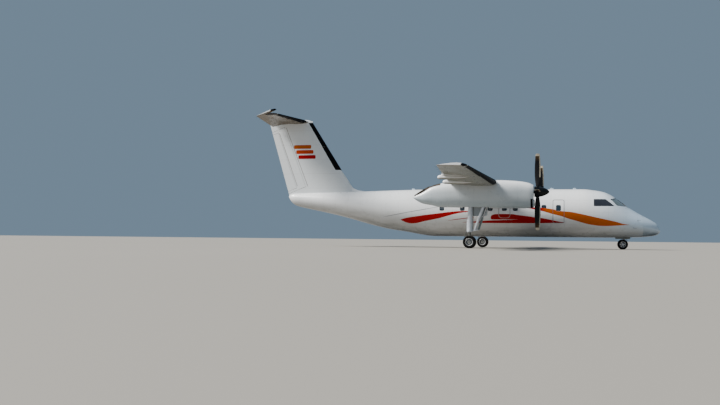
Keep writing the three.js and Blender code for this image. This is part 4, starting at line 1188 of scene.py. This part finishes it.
def leading_edge(reach):
    """Shares of the chord and their sides, from the lower side round the edge to the upper one."""
    share = np.linspace(-1, 1, 25)
    return reach * share**2, np.sign(share)


def boots(rows, place, table):
    """Rubber sheets over a leading edge."""
    shapes = []
    for start, end, reach, step in table:
        alongs, edge = stations_between(start, end, step), leading_edge(reach)
        grids = [surface_grid(rows, place, alongs, *edge, grow) for grow in (BOOT_LIFT, -0.002)]
        shapes.append(slab(*grids))
    return shapes


def tip_sheet(rows, reach):
    """The part of a boot that covers the front of a starboard tip's end face."""
    edge = surface_grid(rows, on_wing, rows[-1:, 0], *leading_edge(reach), BOOT_LIFT)[0]
    return loft([edge + (0, lift, 0) for lift in (0.002, -0.004)])


# Aft of the hinge, above the skin, below it, half width
FLAP_FAIRING = Smooth([
    [-640, 14, 6, 22], [-420, 22, 78, 48], [-120, 22, 138, 64], [240, 10, 172, 72], [520, 8, 200, 78],
    [720, 4, 208, 72], [830, -20, 196, 54], [890, -74, 164, 22],
], MM)


def flap_fairing(along, hinge, size):
    hinge_station = np.interp(along, *zip(*hinge))
    aft = np.linspace(-0.64, 0.89, 28)
    above, depth, half = FLAP_FAIRING(aft).T * size
    stations = hinge_station + aft * (1 + size) / 2
    trail = np.interp(along, WING[:, 0], WING[:, 2])
    level, thick = skin_level(WING, along, np.minimum(stations, trail))
    under = level - thick
    rows = np.stack([stations, under + above, under - depth, half, under + (above - depth) / 2], axis=1)
    return loft(egg_rings(Smooth(rows), stations, circle(24), centre=-along))


def add_wings():
    whole = to_object("wing_blank", wing_paint, lifting_body(WING, on_wing, 0, HALF_SPAN))
    aileron = moving_surface(whole, "aileron", WING, on_wing, AILERON_HINGE)
    dress_pair(aileron, "aileron_*_skin", ["aileron_*"], "aileron_*")
    for name, hinge in (("inner", INNER_FLAP_HINGE), ("outer", OUTER_FLAP_HINGE)):
        flap = carve(copied(whole, "flap"), flap_tool(hinge, 0), "INTERSECT")
        dress_pair(flap, f"flap_{name}_*_skin", [f"flap_{name}_*"])
    bpy.data.objects.remove(whole)

    outer = to_object("outer", wing_paint, lifting_body(WING, on_wing, WING_JOINT + SEAM, HALF_SPAN))
    make_space(outer, WING, on_wing, AILERON_HINGE)
    carve(outer, flap_tool(OUTER_FLAP_HINGE, FLAP_GAP))
    dress_pair(outer, "wing_outer_*_skin", ["wing_outer_*"])

    both_sides = np.vstack([WING[:1] - [WING_JOINT, 0, 0, 0, 0, 0], WING])
    rings = surface_grid(both_sides, on_wing, np.linspace(-WING_JOINT, WING_JOINT, 31), *SECTION)
    centre = to_object("wing_centre_skin", wing_paint, loft(rings))
    tool = flap_tool(INNER_FLAP_HINGE, FLAP_GAP)
    twin = mirror_object(tool)
    carve(centre, tool)
    carve(centre, twin)
    dress(centre, ["wing_centre"])
    add("wing_hump", body_paint, [whole_body(FAIRING, 60, 72)], ["wing_fairing"])

    add_pair("flap_fairings_*", wing_paint, [flap_fairing(*row) for row in FAIRINGS])
    sheets = boots(WING, on_wing, WING_BOOTS) + [tip_sheet(WING, WING_TIP_REACH)]
    add_pair("wing_boots_*", boot_rubber, sheets)


def drooped(obj):
    """A piece of the right elevator, turned about its hinge to where it rests."""
    hinge = Vector(JOINT_AT["elevator_right_swing"])
    turn = Matrix.Rotation(math.radians(ELEVATOR_DROOP), 4, Vector(JOINT_AXIS["elevator_right_swing"]))
    obj.data.transform(Matrix.Translation(hinge) @ turn @ Matrix.Translation(-hinge))
    return obj


def hinge_seal(rows, place, hinge, start, end):
    """A dark strip on each side along the edge of the skin ahead of a hinge."""
    alongs = stations_between(start, end, 0.3)[:, None]
    station = np.interp(alongs, *zip(*hinge))
    edge = station - skin_level(rows, alongs, station)[1] - SWING_GAP - SEAL_GAP
    back = edge - SEAL_WIDTH * np.linspace(1, 0, 4)
    level, thick = skin_level(rows, alongs, back)
    return [
        slab(*[place(alongs, back, level + side * (thick + rise)) for rise in (0.002, -0.004)])
        for side in (-1, 1)
    ]


def add_fin():
    whole = to_object("fin_skin", tail_paint, lifting_body(FIN, on_fin, *FIN[[0, -1], 0]))
    rudder = moving_surface(whole, "rudder_fore_skin", FIN, on_fin, RUDDER_HINGE)
    rear = moving_surface(rudder, "rudder_rear_skin", FIN, on_fin, TRIM_RUDDER_HINGE)
    dress(rear, ["rudder_rear"], "rudder_rear")
    make_space(rudder, FIN, on_fin, TRIM_RUDDER_HINGE)
    dress(rudder, ["rudder_fore"], "rudder_fore")
    make_space(whole, FIN, on_fin, RUDDER_HINGE)
    carve(whole, to_object("fillet", tail_paint, whole_body(DORSAL, 40, 40)), "UNION")
    dress(whole, ["fin"])
    for name, *place, body in RUDDER_SEALS:
        add(name, hinge_grey, hinge_seal(FIN, on_fin, *place), (), body)
    add("fin_boots", boot_rubber, boots(FIN, on_fin, FIN_BOOTS))


def add_tailplane():
    half = to_object("tailplane_skin", tail_paint, lifting_body(TAILPLANE, on_wing, *TAILPLANE[[0, -1], 0]))
    elevator = drooped(moving_surface(half, "elevator", TAILPLANE, on_wing, ELEVATOR_HINGE, True))
    dress_pair(elevator, "elevator_*_skin", ["elevator_*"], "elevator_*")
    make_space(half, TAILPLANE, on_wing, ELEVATOR_HINGE, True)
    carve(half, mirror_object(half), "UNION")
    carve(half, to_object("cap", tail_paint, whole_body(TAIL_CAP, 50, 40)), "UNION")
    dress(half, ["tailplane"])
    sheets = boots(TAILPLANE, on_wing, TAILPLANE_BOOTS)
    add_pair("tailplane_boots_*", boot_rubber, sheets)
    sheets = boots(TAILPLANE, on_wing, HORN_BOOTS) + [tip_sheet(TAILPLANE, HORN_TIP_REACH)]
    horn_boot = drooped(to_object("horn_boot", boot_rubber, *sheets))
    dress_pair(horn_boot, "horn_boot_*", (), "elevator_*")


def fin_side(side):
    """Places on the fin's side, from a station and a height."""

    def place(station, height, lift):
        half = skin_level(FIN, height, station)[1]
        return np.stack([NOSE_X - station, side * (half + lift), height], axis=1)

    return place


# Three plain bars on each side of the fin: start, end, low, high
FIN_BARS = (
    ("amber", (19.64, 20.72, 5.73, 5.95), amber_paint),
    ("orange", (19.50, 20.58, 5.43, 5.65), orange_paint),
    ("red", (19.36, 20.44, 5.13, 5.35), red_paint),
)


def add_fin_bars():
    for side_name, side in SIDES:
        for name, edges, material in FIN_BARS:
            bar = patch(rounded(rectangle(*edges), 0.07), fin_side(side), -0.003, 0.003)
            add(f"fin_bar_{name}_{side_name}", material, [bar])


# Nacelles

NACELLE_START = 6.6
NACELLE_SPLIT = 8.8
NACELLE_END = 12.9
NACELLE_AROUND = 72
NACELLE_SQUARE = 0.82
LIP = 0.035
INTAKE_HALF = 0.18
INTAKE_MOUTH = rounded(rectangle(NACELLE_Y - INTAKE_HALF, NACELLE_Y + INTAKE_HALF, 2.25, 2.53), 0.11)
# Start, end, half width of the mouth between its doors
WHEEL_BAY = (8.89, 10.26, 0.236)
EXHAUST = {"radius": 0.25, "wall": 0.022, "z": 3.005, "start": 11.0, "end": 13.1, "segments": 64}
# The nacelle's sloping aft end: the station and the height where it starts, and how much it drops
SLOPE = {"start": 11.89, "top": 3.345, "length": 0.94, "drop": 0.57}
# How far outside the intake's mouth each ring is, and its station
INTAKE_LIP = ((0.052, 6.66), (0.05, 6.61), (0.04, 6.592), (0.024, 6.592), (0.02, 6.66))
INTAKE_BOOT = (
    (0.028, 6.65), (0.028, 6.59), (0.022, 6.571), (0.011, 6.563),
    (-0.001, 6.569), (-0.006, 6.6), (0.001, 6.66),
)


def nacelle_rings(stations, grow=0.0, turn=circle(NACELLE_AROUND)):
    return egg_rings(NACELLE, stations, turn, grow, NACELLE_Y, NACELLE_SQUARE)


def nacelle_sheet(stations, start, end, count, lift):
    """A closed sheet over part of the nacelle's skin, between two angles in degrees."""
    turn = np.radians(np.linspace(start, end, count))
    return slab(*[nacelle_rings(stations, grow, turn) for grow in (lift, -0.01)])


def slope_station(height):
    """Where the nacelle's sloping aft end is at a height."""
    return SLOPE["start"] + (SLOPE["top"] - height) * SLOPE["length"] / SLOPE["drop"]


def exhaust_bore(start, spare):
    ends = [(station_of(station), NACELLE_Y, EXHAUST["z"]) for station in (start, EXHAUST["end"])]
    return rod(*ends, EXHAUST["radius"] + spare, segments=EXHAUST["segments"])


def add_cowls():
    rings = []
    for angle in np.radians((0, 25, 50, 75)):
        back, inwards = LIP * (1 - math.cos(angle)), LIP * (1 - math.sin(angle))
        rings.append(nacelle_rings([NACELLE_START + back], -inwards)[0])
    rings += list(nacelle_rings(stations_between(NACELLE_START + LIP, NACELLE_SPLIT - SEAM, 0.07)))
    cowl = to_object("cowl", nacelle_paint, loft(rings))
    cut(cowl, burnt_metal, prism(INTAKE_MOUTH, 6.5, 7.1, lengthways))
    dress_pair(cowl, "cowl_*_skin", ["cowl_*"])
    for name, material, rows in (("lip", nose_paint, INTAKE_LIP), ("boot", boot_rubber, INTAKE_BOOT)):
        rings = [[lengthways(*point, station) for point in grown(INTAKE_MOUTH, by)] for by, station in rows]
        add_pair(f"intake_{name}_*", material, [loft(rings, closed=True)])


def add_nacelles():
    rings = nacelle_rings(stations_between(NACELLE_SPLIT, NACELLE_END, 0.07))
    aft = to_object("aft", nacelle_paint, loft(rings))
    start, end, half = WHEEL_BAY
    low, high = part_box("main_leg_right")
    for y0, y1, z0, z1 in ((NACELLE_Y - half, NACELLE_Y + half, 2.0, 2.35), (low[1], high[1], 2.3, 2.76)):
        cut(aft, bay_grey, block((station_of(end), y0, z0), (station_of(start), y1, z1)))
    cut(aft, burnt_metal, exhaust_bore(EXHAUST["start"], MM))
    dress_pair(aft, "nacelle_*_skin", ["nacelle_*"])
    chin = nacelle_sheet(stations_between(6.645, 6.755, 0.02), -160, -20, 41, 0.005)
    add_pair("intake_chin_boot_*", boot_rubber, [chin])


def add_exhausts():
    turn = circle(EXHAUST["segments"])
    outer, inner = EXHAUST["radius"], EXHAUST["radius"] - EXHAUST["wall"]
    rings = []
    # Radius, station if it is straight across, and how far it stands out of the slope if not
    for radius, start, spare in (
        (outer, 11.02, 0),
        (outer, None, 0.012),
        (inner, None, 0.006),
        (inner, 11.08, 0),
        (0, 11.08, 0),
        (0, 11.02, 0),
    ):
        height = EXHAUST["z"] + radius * np.sin(turn)
        station = start or slope_station(height) + spare
        across = NACELLE_Y + radius * np.cos(turn)
        rings.append(np.stack(np.broadcast_arrays(NOSE_X - station, across, height), axis=1))
    add_pair("exhaust_*_pipe", burnt_metal, [loft(rings, closed=True)], ["exhaust_*"])
    apron = nacelle_sheet(stations_between(11.42, 12.89, 0.05), 50, 130, 33, 0.006)
    apron = cut(to_object("apron", burnt_metal, apron), burnt_metal, exhaust_bore(11.2, 2 * MM))
    dress_pair(apron, "exhaust_apron_*")


# Propellers: radius, chord, thickness, pitch
BLADE = Smooth([
    [0.15, 0.14, 0.11, 118], [0.33, 0.2, 0.09, 112], [0.6, 0.275, 0.046, 105], [0.9, 0.305, 0.032, 99],
    [1.25, 0.3, 0.023, 93], [1.6, 0.265, 0.017, 87], [1.88, 0.225, 0.012, 83], [1.96, 0.18, 0.009, 82],
    [1.98, 0.1, 0.006, 82],
])
# Radii between which a strip covers the leading edge, and how far round it, in degrees
BLADE_STRIP = {"start": 0.75, "end": 1.88, "turn": 52}
# A blade's root, outwards from the hub, and the shaft behind it
CUFF = (0.2, 0.31)
SHAFT = (0.33, 0.15)
# Ahead of the hub, radius
SPINNER = [
    (0.6, 0.0), (0.592, 0.03), (0.575, 0.06), (0.545, 0.092), (0.5, 0.122), (0.44, 0.157), (0.37, 0.19),
    (0.29, 0.22), (0.2, 0.245), (0.12, 0.261), (0.04, 0.272), (-0.05, 0.278), (-0.12, 0.28),
    (-0.13, 0.279), (-0.165, 0.262), (-0.165, 0.0),
]


def blade_ring(radius, angle, lift=0.0):
    """Points of the upright blade at a radius, at the angles given."""
    chord, thickness, pitch = BLADE(radius)[0]
    turn = math.radians(pitch)
    along = (chord / 2 + lift) * np.cos(angle)
    thick = (thickness / 2 + lift) * np.sin(angle) * (1 - 0.25 * np.cos(angle))
    ahead = along * math.sin(turn) + thick * math.cos(turn)
    across = along * math.cos(turn) - thick * math.sin(turn)
    return np.stack([ahead, across, np.full(len(angle), float(radius))], axis=1)


def add_propellers():
    radii = np.concatenate([np.linspace(0.15, 1.9, 36), [1.93, 1.955, 1.97, 1.98]])
    blade = loft([blade_ring(radius, circle(32)) for radius in radii])
    start, end, around = BLADE_STRIP.values()
    front = np.radians(np.linspace(-around, around, 9))
    radii = np.linspace(start, end, 16)
    grids = [[blade_ring(radius, front, lift) for radius in radii] for lift in (0.0016, -0.001)]
    strip = slab(*np.array(grids))
    blades, strips, hub = [], [], [turned(SPINNER, HUB, (1, 0, 0), 72)]
    for turn in circle(4):
        cos, sin = math.cos(turn), math.sin(turn)
        matrix = np.array([[1, 0, 0], [0, cos, -sin], [0, sin, cos]])
        for shapes, (points, faces) in ((blades, blade), (strips, strip)):
            shapes.append((points @ matrix.T + HUB, faces))
        hub.append(rod(*[HUB + matrix[:, 2] * reach for reach in CUFF], 0.082, 0.07, 0.008, 32))
    hub.append(rod(*[HUB - (reach, 0, 0) for reach in SHAFT], 0.09, segments=40))
    for stem, material, shapes, replaces in (
        ("blades_*", blade_black, blades, ()),
        ("blade_edges_*", edge_metal, strips, ()),
        ("spinner_*", spinner_black, hub, ["propeller_*"]),
    ):
        add_pair(stem, material, shapes, replaces, "propeller_*")


# Wheels

WHEEL_SIZES = ("radius", "rim", "width", "track", "axle", "holes")
MAIN_WHEEL = dict(zip(WHEEL_SIZES, (float(MAIN_AXLE[2]), 0.185, 0.203, 0.212, 0.045, 9)))
NOSE_WHEEL = dict(zip(WHEEL_SIZES, (float(NOSE_AXLE[2]), 0.155, 0.165, 0.15, 0.032, 6)))
# Share of the radius, share of the half width
TYRE_SIDE = (
    (0.72, 0.985), (0.82, 1.0), (0.89, 0.95), (0.945, 0.84), (0.975, 0.70), (0.99, 0.56), (0.996, 0.47),
)
RIM_SIDE = (
    (0.42, 0.55), (0.47, 0.50), (0.52, 0.30), (0.82, 0.22), (0.88, 0.32), (0.91, 0.66), (0.94, 0.88),
    (0.98, 0.96), (1.04, 0.975), (1.06, 0.945), (1.04, 0.91), (1.0, 0.80), (1.0, 0.69),
)
TREAD_GROOVES = (0.34, 0.11)
# Depth in metres, share of the half width
GROOVE = ((0, 0.035), (0.007, 0.022), (0.007, -0.022), (0, -0.035))


def wheel_body(wheel, centre, side, segments):
    """A body of a wheel, turned from radii and shares of the half width on one side."""
    profile = [(share * wheel["width"] / 2, radius) for radius, share in side]
    profile += [(-across, radius) for across, radius in reversed(profile)]
    return turned(profile, centre, (0, 1, 0), segments, closed=True)


def tyre_shape(wheel, centre):
    radius, bead = wheel["radius"], wheel["rim"]
    side = [(bead, 0.70), (bead + 0.004, 0.80), (bead + 0.014, 0.89)]
    side += [(radius * part, share) for part, share in TYRE_SIDE]
    for groove_at in TREAD_GROOVES:
        side += [(radius - depth, groove_at + by) for depth, by in GROOVE]
    return wheel_body(wheel, centre, side, 96)


def rim_shape(wheel, centre):
    """A rim with a dished disc, its flange and a hub."""
    edge = wheel["rim"] - 0.001
    side = [(wheel["axle"] + 0.001, 0.55)] + [(edge * part, share) for part, share in RIM_SIDE]
    return wheel_body(wheel, centre, side, 80)


def wheel_bars(wheel, centre, share, shift, reach, radius, segments):
    """Bars through a wheel, round its axle."""
    bars = []
    for turn in circle(wheel["holes"]) + shift:
        middle = centre + np.array([math.cos(turn), 0, math.sin(turn)]) * wheel["rim"] * share
        bars.append(rod(middle - (0, reach, 0), middle + (0, reach, 0), radius, segments=segments))
    return bars


def add_wheel(gear, stem, wheel, centre, body):
    name = f"{gear}_{stem}"
    tyre = [tyre_shape(wheel, centre)]
    add(name + "_rubber", tyre_rubber, tyre, [f"{gear}_tyre_{stem}"], body, 40)
    rim_radius, width = wheel["rim"], wheel["width"]
    disc = to_object(name + "_disc", rim_metal, rim_shape(wheel, centre))
    # The dished recess on each side of the disc is darker: painted shade
    floor, start, end = width * 0.085, rim_radius * 0.53, rim_radius * 0.85
    corners = [(floor, start), (floor, end), (width, end), (width, start)]
    cut(disc, rim_shade, *[turned(corners, centre, (0, way, 0), 80, closed=True) for way in (-1, 1)])
    cut(disc, strut_dark, *wheel_bars(wheel, centre, 0.67, 0, 0.2, rim_radius * 0.13, 20))
    dress(disc, [f"{gear}_rim_{stem}"], body)
    reach = width / 2 * 0.55 + 0.008
    bolts = wheel_bars(wheel, centre, 0.36, math.pi / wheel["holes"], reach, 0.009, 6)
    add(name + "_bolts", chrome, bolts, (), body)


def add_wheels():
    for side_name, side in SIDES:
        for place_name, way in (("outer", 1), ("inner", -1)):
            centre = MAIN_AXLE * (1, -side, 1) + (0, side * way * MAIN_WHEEL["track"], 0)
            add_wheel("main", f"{place_name}_{side_name}", MAIN_WHEEL, centre, "main_wheels_" + side_name)
        centre = NOSE_AXLE + (0, side * NOSE_WHEEL["track"], 0)
        add_wheel("nose", side_name, NOSE_WHEEL, centre, "nose_wheels")


# Landing gear

AXLE_Z = MAIN_AXLE[2]
LEG_HALF = 0.3297
# A straight bar with many segments: end radius, chamfer, segments
FINE = (None, 0.006, 40)
# Bars: where they start and end, each ahead, across and up, then radius, end radius, chamfer, segments
MAIN_STRUT = (
    (0.06, -LEG_HALF, 2.5, 0.06, LEG_HALF, 2.5, 0.06),
    (0.062, 0, 2.56, 0.012, 0, 1.5, 0.12, 0.13, 0.006, 40),
    (0.012, 0, 1.54, 0, 0, 1.40, 0.138, 0.156, 0.01, 40),
    (0, 0, 1.42, 0, 0, 0.93, 0.155, 0.155, 0.01, 40),
    (0, 0, 0.935, 0, 0, 0.845, 0.158, 0.14, 0.012, 40),
    (0, 0, 0.475, 0, 0, 0.26, 0.084, 0.078, 0.02, 32),
    (0.06, 0, 0.96, 0.29, 0, 0.96, 0.06),
    (0.25, -0.01, 0.93, 0.79, -0.15, 2.36, 0.066, 0.08),
    (0.465, -0.06, 1.50, 0.465, 0.06, 1.50, 0.03),
    (0.63, -0.10, 1.93, 0.63, 0.10, 1.93, 0.03),
    (0.79, -0.22, 2.36, 0.79, -0.08, 2.36, 0.08),
    (0.79, 0.08, 2.36, 0.79, 0.22, 2.36, 0.08),
    (0.79, -LEG_HALF, 2.36, 0.79, LEG_HALF, 2.36, 0.055),
    (0.06, -0.14, 2.5, 0.06, 0.14, 2.5, 0.1),
    (0.27, -0.075, 0.965, 0.27, 0.075, 0.965, 0.062),
    (0.27, 0, 0.96, 0.455, 0.062, 0.985, 0.045),
)
# The inner arm and the actuator's body are darker: painted shade of the outer arm
INNER_BRACE = (
    (0.255, 0.01, 0.93, 0.8, 0.15, 2.36, 0.064, 0.078),
    (0.45, 0.06, 0.97, 0.67, 0.06, 1.63, 0.056),
)
MAIN_CHROME = (
    (0.65, 0.06, 1.57, 0.925, 0.06, 2.4, 0.036),
    (0, -0.265, AXLE_Z, 0, 0.265, AXLE_Z, 0.044, *FINE),
)
MAIN_FITTINGS = (
    (0, 0, 0.86, 0, 0, 0.42, 0.062, *FINE),
    (-0.255, -0.06, 0.645, -0.255, 0.06, 0.645, 0.02),
    (0.19, -0.05, 2.4, 0.17, -0.05, 0.98, 0.012, None, 0.006, 10),
    (0.19, 0.06, 2.4, 0.175, 0.06, 0.98, 0.009, None, 0.006, 10),
)
# Flat forged links, thinner than they are wide: half width, and corners ahead and up
MAIN_LINKS = (
    (0.05, ((-0.12, 0.90), (-0.13, 0.84), (-0.25, 0.63), (-0.27, 0.66), (-0.17, 0.90))),
    (0.045, ((-0.07, 0.36), (-0.10, 0.44), (-0.25, 0.66), (-0.27, 0.63), (-0.12, 0.34))),
)
# Along the axle, radius
BRAKE = (
    (0.0, 0.09), (0.0, 0.135), (0.012, 0.14), (0.012, 0.12),
    (0.02, 0.12), (0.02, 0.14), (0.034, 0.135), (0.034, 0.09),
)
NOSE_STRUT = (
    (0, 0, 1.128, 0, 0, 0.7, 0.07, *FINE),
    (0, -0.09, 1.08, 0, 0.09, 1.08, 0.085),
    (-0.03, 0, 0.86, -0.36, 0, 1.16, 0.028),
)
NOSE_FORK = (
    (0, 0, 0.6995, 0, 0, 0.61, 0.092, *FINE),
    (0, 0, 0.615, 0, 0, 0.45, 0.06, *FINE),
    (0, 0, 0.36, NOSE_AXLE[0] - STEER[0], 0, NOSE_AXLE[2], 0.056, None, 0.006, 32),
    (0, 0, 0.40, 0, 0, 0.31, 0.06, None, 0.006, 32),
    (0.04, 0, 0.42, 0.13, 0, 0.42, 0.03),
    (0, -0.12, 0.655, 0, 0.12, 0.655, 0.03),
)
NOSE_LINKS = (
    (0.03, ((0.06, 0.64), (0.09, 0.60), (0.20, 0.52), (0.19, 0.50), (0.06, 0.58))),
    (0.028, ((0.05, 0.38), (0.05, 0.44), (0.19, 0.53), (0.20, 0.51), (0.08, 0.36))),
)
NOSE_PISTON = (0, 0, 0.47, 0, 0, 0.38, 0.05, *FINE)
# How far each brake is from the middle of the axle
BRAKE_AT = 0.105
# Caps on the axles: how far from the middle of the axle they start, length, radius
MAIN_CAP = (MAIN_WHEEL["track"] + 0.0578, 0.018, 0.059)
NOSE_CAP = (NOSE_WHEEL["track"] + 0.0474, 0.016, 0.045)
# How far the nose axle reaches to each side, and its radius
NOSE_AXLE_BAR = (NOSE_WHEEL["track"] + 0.05, 0.0315)


def leg_at(ahead, across, up):
    return np.array([MAIN_AXLE[0] + ahead, NACELLE_Y + across, up])


def fork_at(ahead, across, up):
    return np.array([STEER[0] + ahead, across, up])


def links(rows, place):
    return [
        loft([[place(ahead, across, up) for ahead, up in corners] for across in (-half, half)])
        for half, corners in rows
    ]


def axle_caps(middle, start, length, radius):
    reaches = [np.array([0, way, 0]) for way in (-1, 1)]
    return [rod(middle + way * start, middle + way * (start + length), radius) for way in reaches]


def add_gear_door(stem, material, node_name, corner, inset):
    """A door as its solid, with a raised pan on its outer face where it has an inset."""
    low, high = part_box(node_name.replace("*", "right"))
    outline = rounded(rectangle(low[0], high[0], low[2], high[2]), corner)
    shapes = [prism(outline, low[1], high[1], sideways)]
    if inset:
        shapes.append(prism(grown(outline, -inset), low[1] - 0.008, low[1] + 0.002, sideways))
    add_pair(stem, material, shapes, [node_name])


def add_main_gear():
    middle = leg_at(0, 0, AXLE_Z)
    fittings = bars(MAIN_FITTINGS, leg_at) + links(MAIN_LINKS, leg_at)
    fittings += axle_caps(middle, *MAIN_CAP)
    for way in (-1, 1):
        fittings.append(turned(BRAKE, middle + (0, way * BRAKE_AT, 0), (0, -way, 0), 48, closed=True))
    for stem, material, shapes, replaces in (
        ("main_brace_inner_*", strut_shade, bars(INNER_BRACE, leg_at), ()),
        ("main_chrome_*", chrome, bars(MAIN_CHROME, leg_at), ()),
        ("main_strut_*", strut_grey, bars(MAIN_STRUT, leg_at), ["main_leg_*"]),
        ("main_fittings_*", strut_dark, fittings, ()),
    ):
        add_pair(stem, material, shapes, replaces)
    add_gear_door("main_gear_door_*", nacelle_paint, "gear_door_*", 0.12, 0.05)


def add_nose_gear():
    low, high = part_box("nose_leg")
    upper = bars(((0, low[1], 1.08, 0, high[1], 1.08, 0.046), *NOSE_STRUT), fork_at)
    add("nose_strut", strut_grey, upper, ["nose_leg"])
    lower = bars(NOSE_FORK, fork_at) + links(NOSE_LINKS, fork_at)
    add("nose_fork", strut_grey, lower, ["steering_fork"], "nose_steering")
    reach, radius = NOSE_AXLE_BAR
    bright = bars([NOSE_PISTON], fork_at)
    bright.append(rod(NOSE_AXLE - (0, reach, 0), NOSE_AXLE + (0, reach, 0), radius, segments=32))
    bright += axle_caps(NOSE_AXLE, *NOSE_CAP)
    add("nose_chrome", chrome, bright, (), "nose_steering")
    # The nose gear doors take the bays' dark grey in place of white: painted shade
    add_gear_door("nose_gear_door_*", bay_grey, "nose_door_*", 0.05, 0)


# Small fittings

# Station and the level of the skin
ANTENNAS = ((4.37, 3.3), (5.6, 3.3), (13.4, 3.287))
ANTENNA = {"height": 0.1, "chord": 0.24, "thickness": 0.03, "sweep": 0.08}
# Station and height
PROBES = ((1.25, 1.55), (1.45, 1.18))
# The arm's ends, across and then in height, and the blade: across, low end, high end
WIPER_ARM = ((0.42, 0.18), (2.27, 2.52))
WIPER_BLADE = (0.18, 2.36, 2.72)
# Places along a trailing edge, and length
AILERON_WICKS = ((9.6, 10.3, 11.0, 11.7, 12.3), 0.16)
ELEVATOR_WICKS = ((1.6, 2.3, 3.0, 3.6), 0.15)
WICK_ROOT = 0.985
# Along the axis, radius
TIP_LAMP = ((-0.03, 0), (-0.026, 0.012), (-0.012, 0.02), (0.02, 0.024), (0.05, 0.02), (0.08, 0))
BEACON = ((0, 0.07), (0.03, 0.07), (0.075, 0.052), (0.1, 0.025), (0.105, 0))


def antenna(station, level):
    """A swept antenna blade on the centre line."""
    height, chord, thickness, sweep = ANTENNA.values()
    angle = circle(20)
    rings = []
    for share in np.linspace(0, 1, 6):
        half = chord * (1 - 0.45 * share) / 2
        x = NOSE_X - (station + sweep * share + half - half * np.cos(angle))
        y = thickness / 2 * np.sin(angle) * (1 - 0.3 * share)
        rings.append(np.stack(np.broadcast_arrays(x, y, level + height * share - 0.02), axis=1))
    return loft(rings)


def wicks(rows, alongs, length):
    """Static wicks on a trailing edge."""
    roots = [chord_point(rows, along, WICK_ROOT) for along in alongs]
    return [rod(root, root - (length, 0, 0), 0.004, 0.002, segments=8) for root in roots]


def add_fittings():
    add("antennas", nose_paint, [antenna(*row) for row in ANTENNAS])
    probes, wipers = [], []
    for _, side in SIDES:
        for row in PROBES:
            foot, out = (skin_point(side_skin(side), *row, lift) for lift in (-0.01, 0.09))
            probes.append(rod(foot, out, 0.014, segments=14))
            probes.append(rod(out - (0.02, 0, 0), out + (0.16, 0, 0), 0.011, 0.007, segments=14))
        pane = front_skin(side)
        wipers.append(rod(*pane(*np.array(WIPER_ARM), 0.018), 0.009, segments=8))
        across, low, high = WIPER_BLADE
        line = pane(np.full(8, across), np.linspace(low, high, 8), 0.006)
        wipers += [rod(a, b, 0.008, segments=8) for a, b in zip(line[:-1], line[1:])]
    add("air_data_probes", chrome, probes)
    add("wipers", seal, wipers)

    for (side_name, side), lens in zip(SIDES, (lamp_green, lamp_red)):
        centre = chord_point(WING, 12.8, 0.03) * (1, -side, 1) + (0.015, 0, 0)
        lamp = turned(TIP_LAMP, centre, (-1, 0, 0), 24)
        add("wing_tip_lamp_" + side_name, lens, [lamp])
    add("beacon", lamp_red, [turned(BEACON, (station_of(9.4), 0, 3.63), (0, 0, 1), 28)])

    add_pair("aileron_wicks_*", seal, wicks(WING, *AILERON_WICKS), (), "aileron_*")
    pair = drooped(to_object("wicks", seal, *wicks(TAILPLANE, *ELEVATOR_WICKS)))
    dress_pair(pair, "elevator_wicks_*", (), "elevator_*")


add_fuselage()
add_body_panels()
add_passenger_door()
add_livery()
add_wings()
add_fin()
add_tailplane()
add_fin_bars()
add_cowls()
add_nacelles()
add_exhausts()
add_propellers()
add_wheels()
add_main_gear()
add_nose_gear()
add_fittings()
# The engines inside the cowls stay as their solids
for side_name, _ in SIDES:
    painted(frame["nodes"]["engine_block_" + side_name], engine_metal)
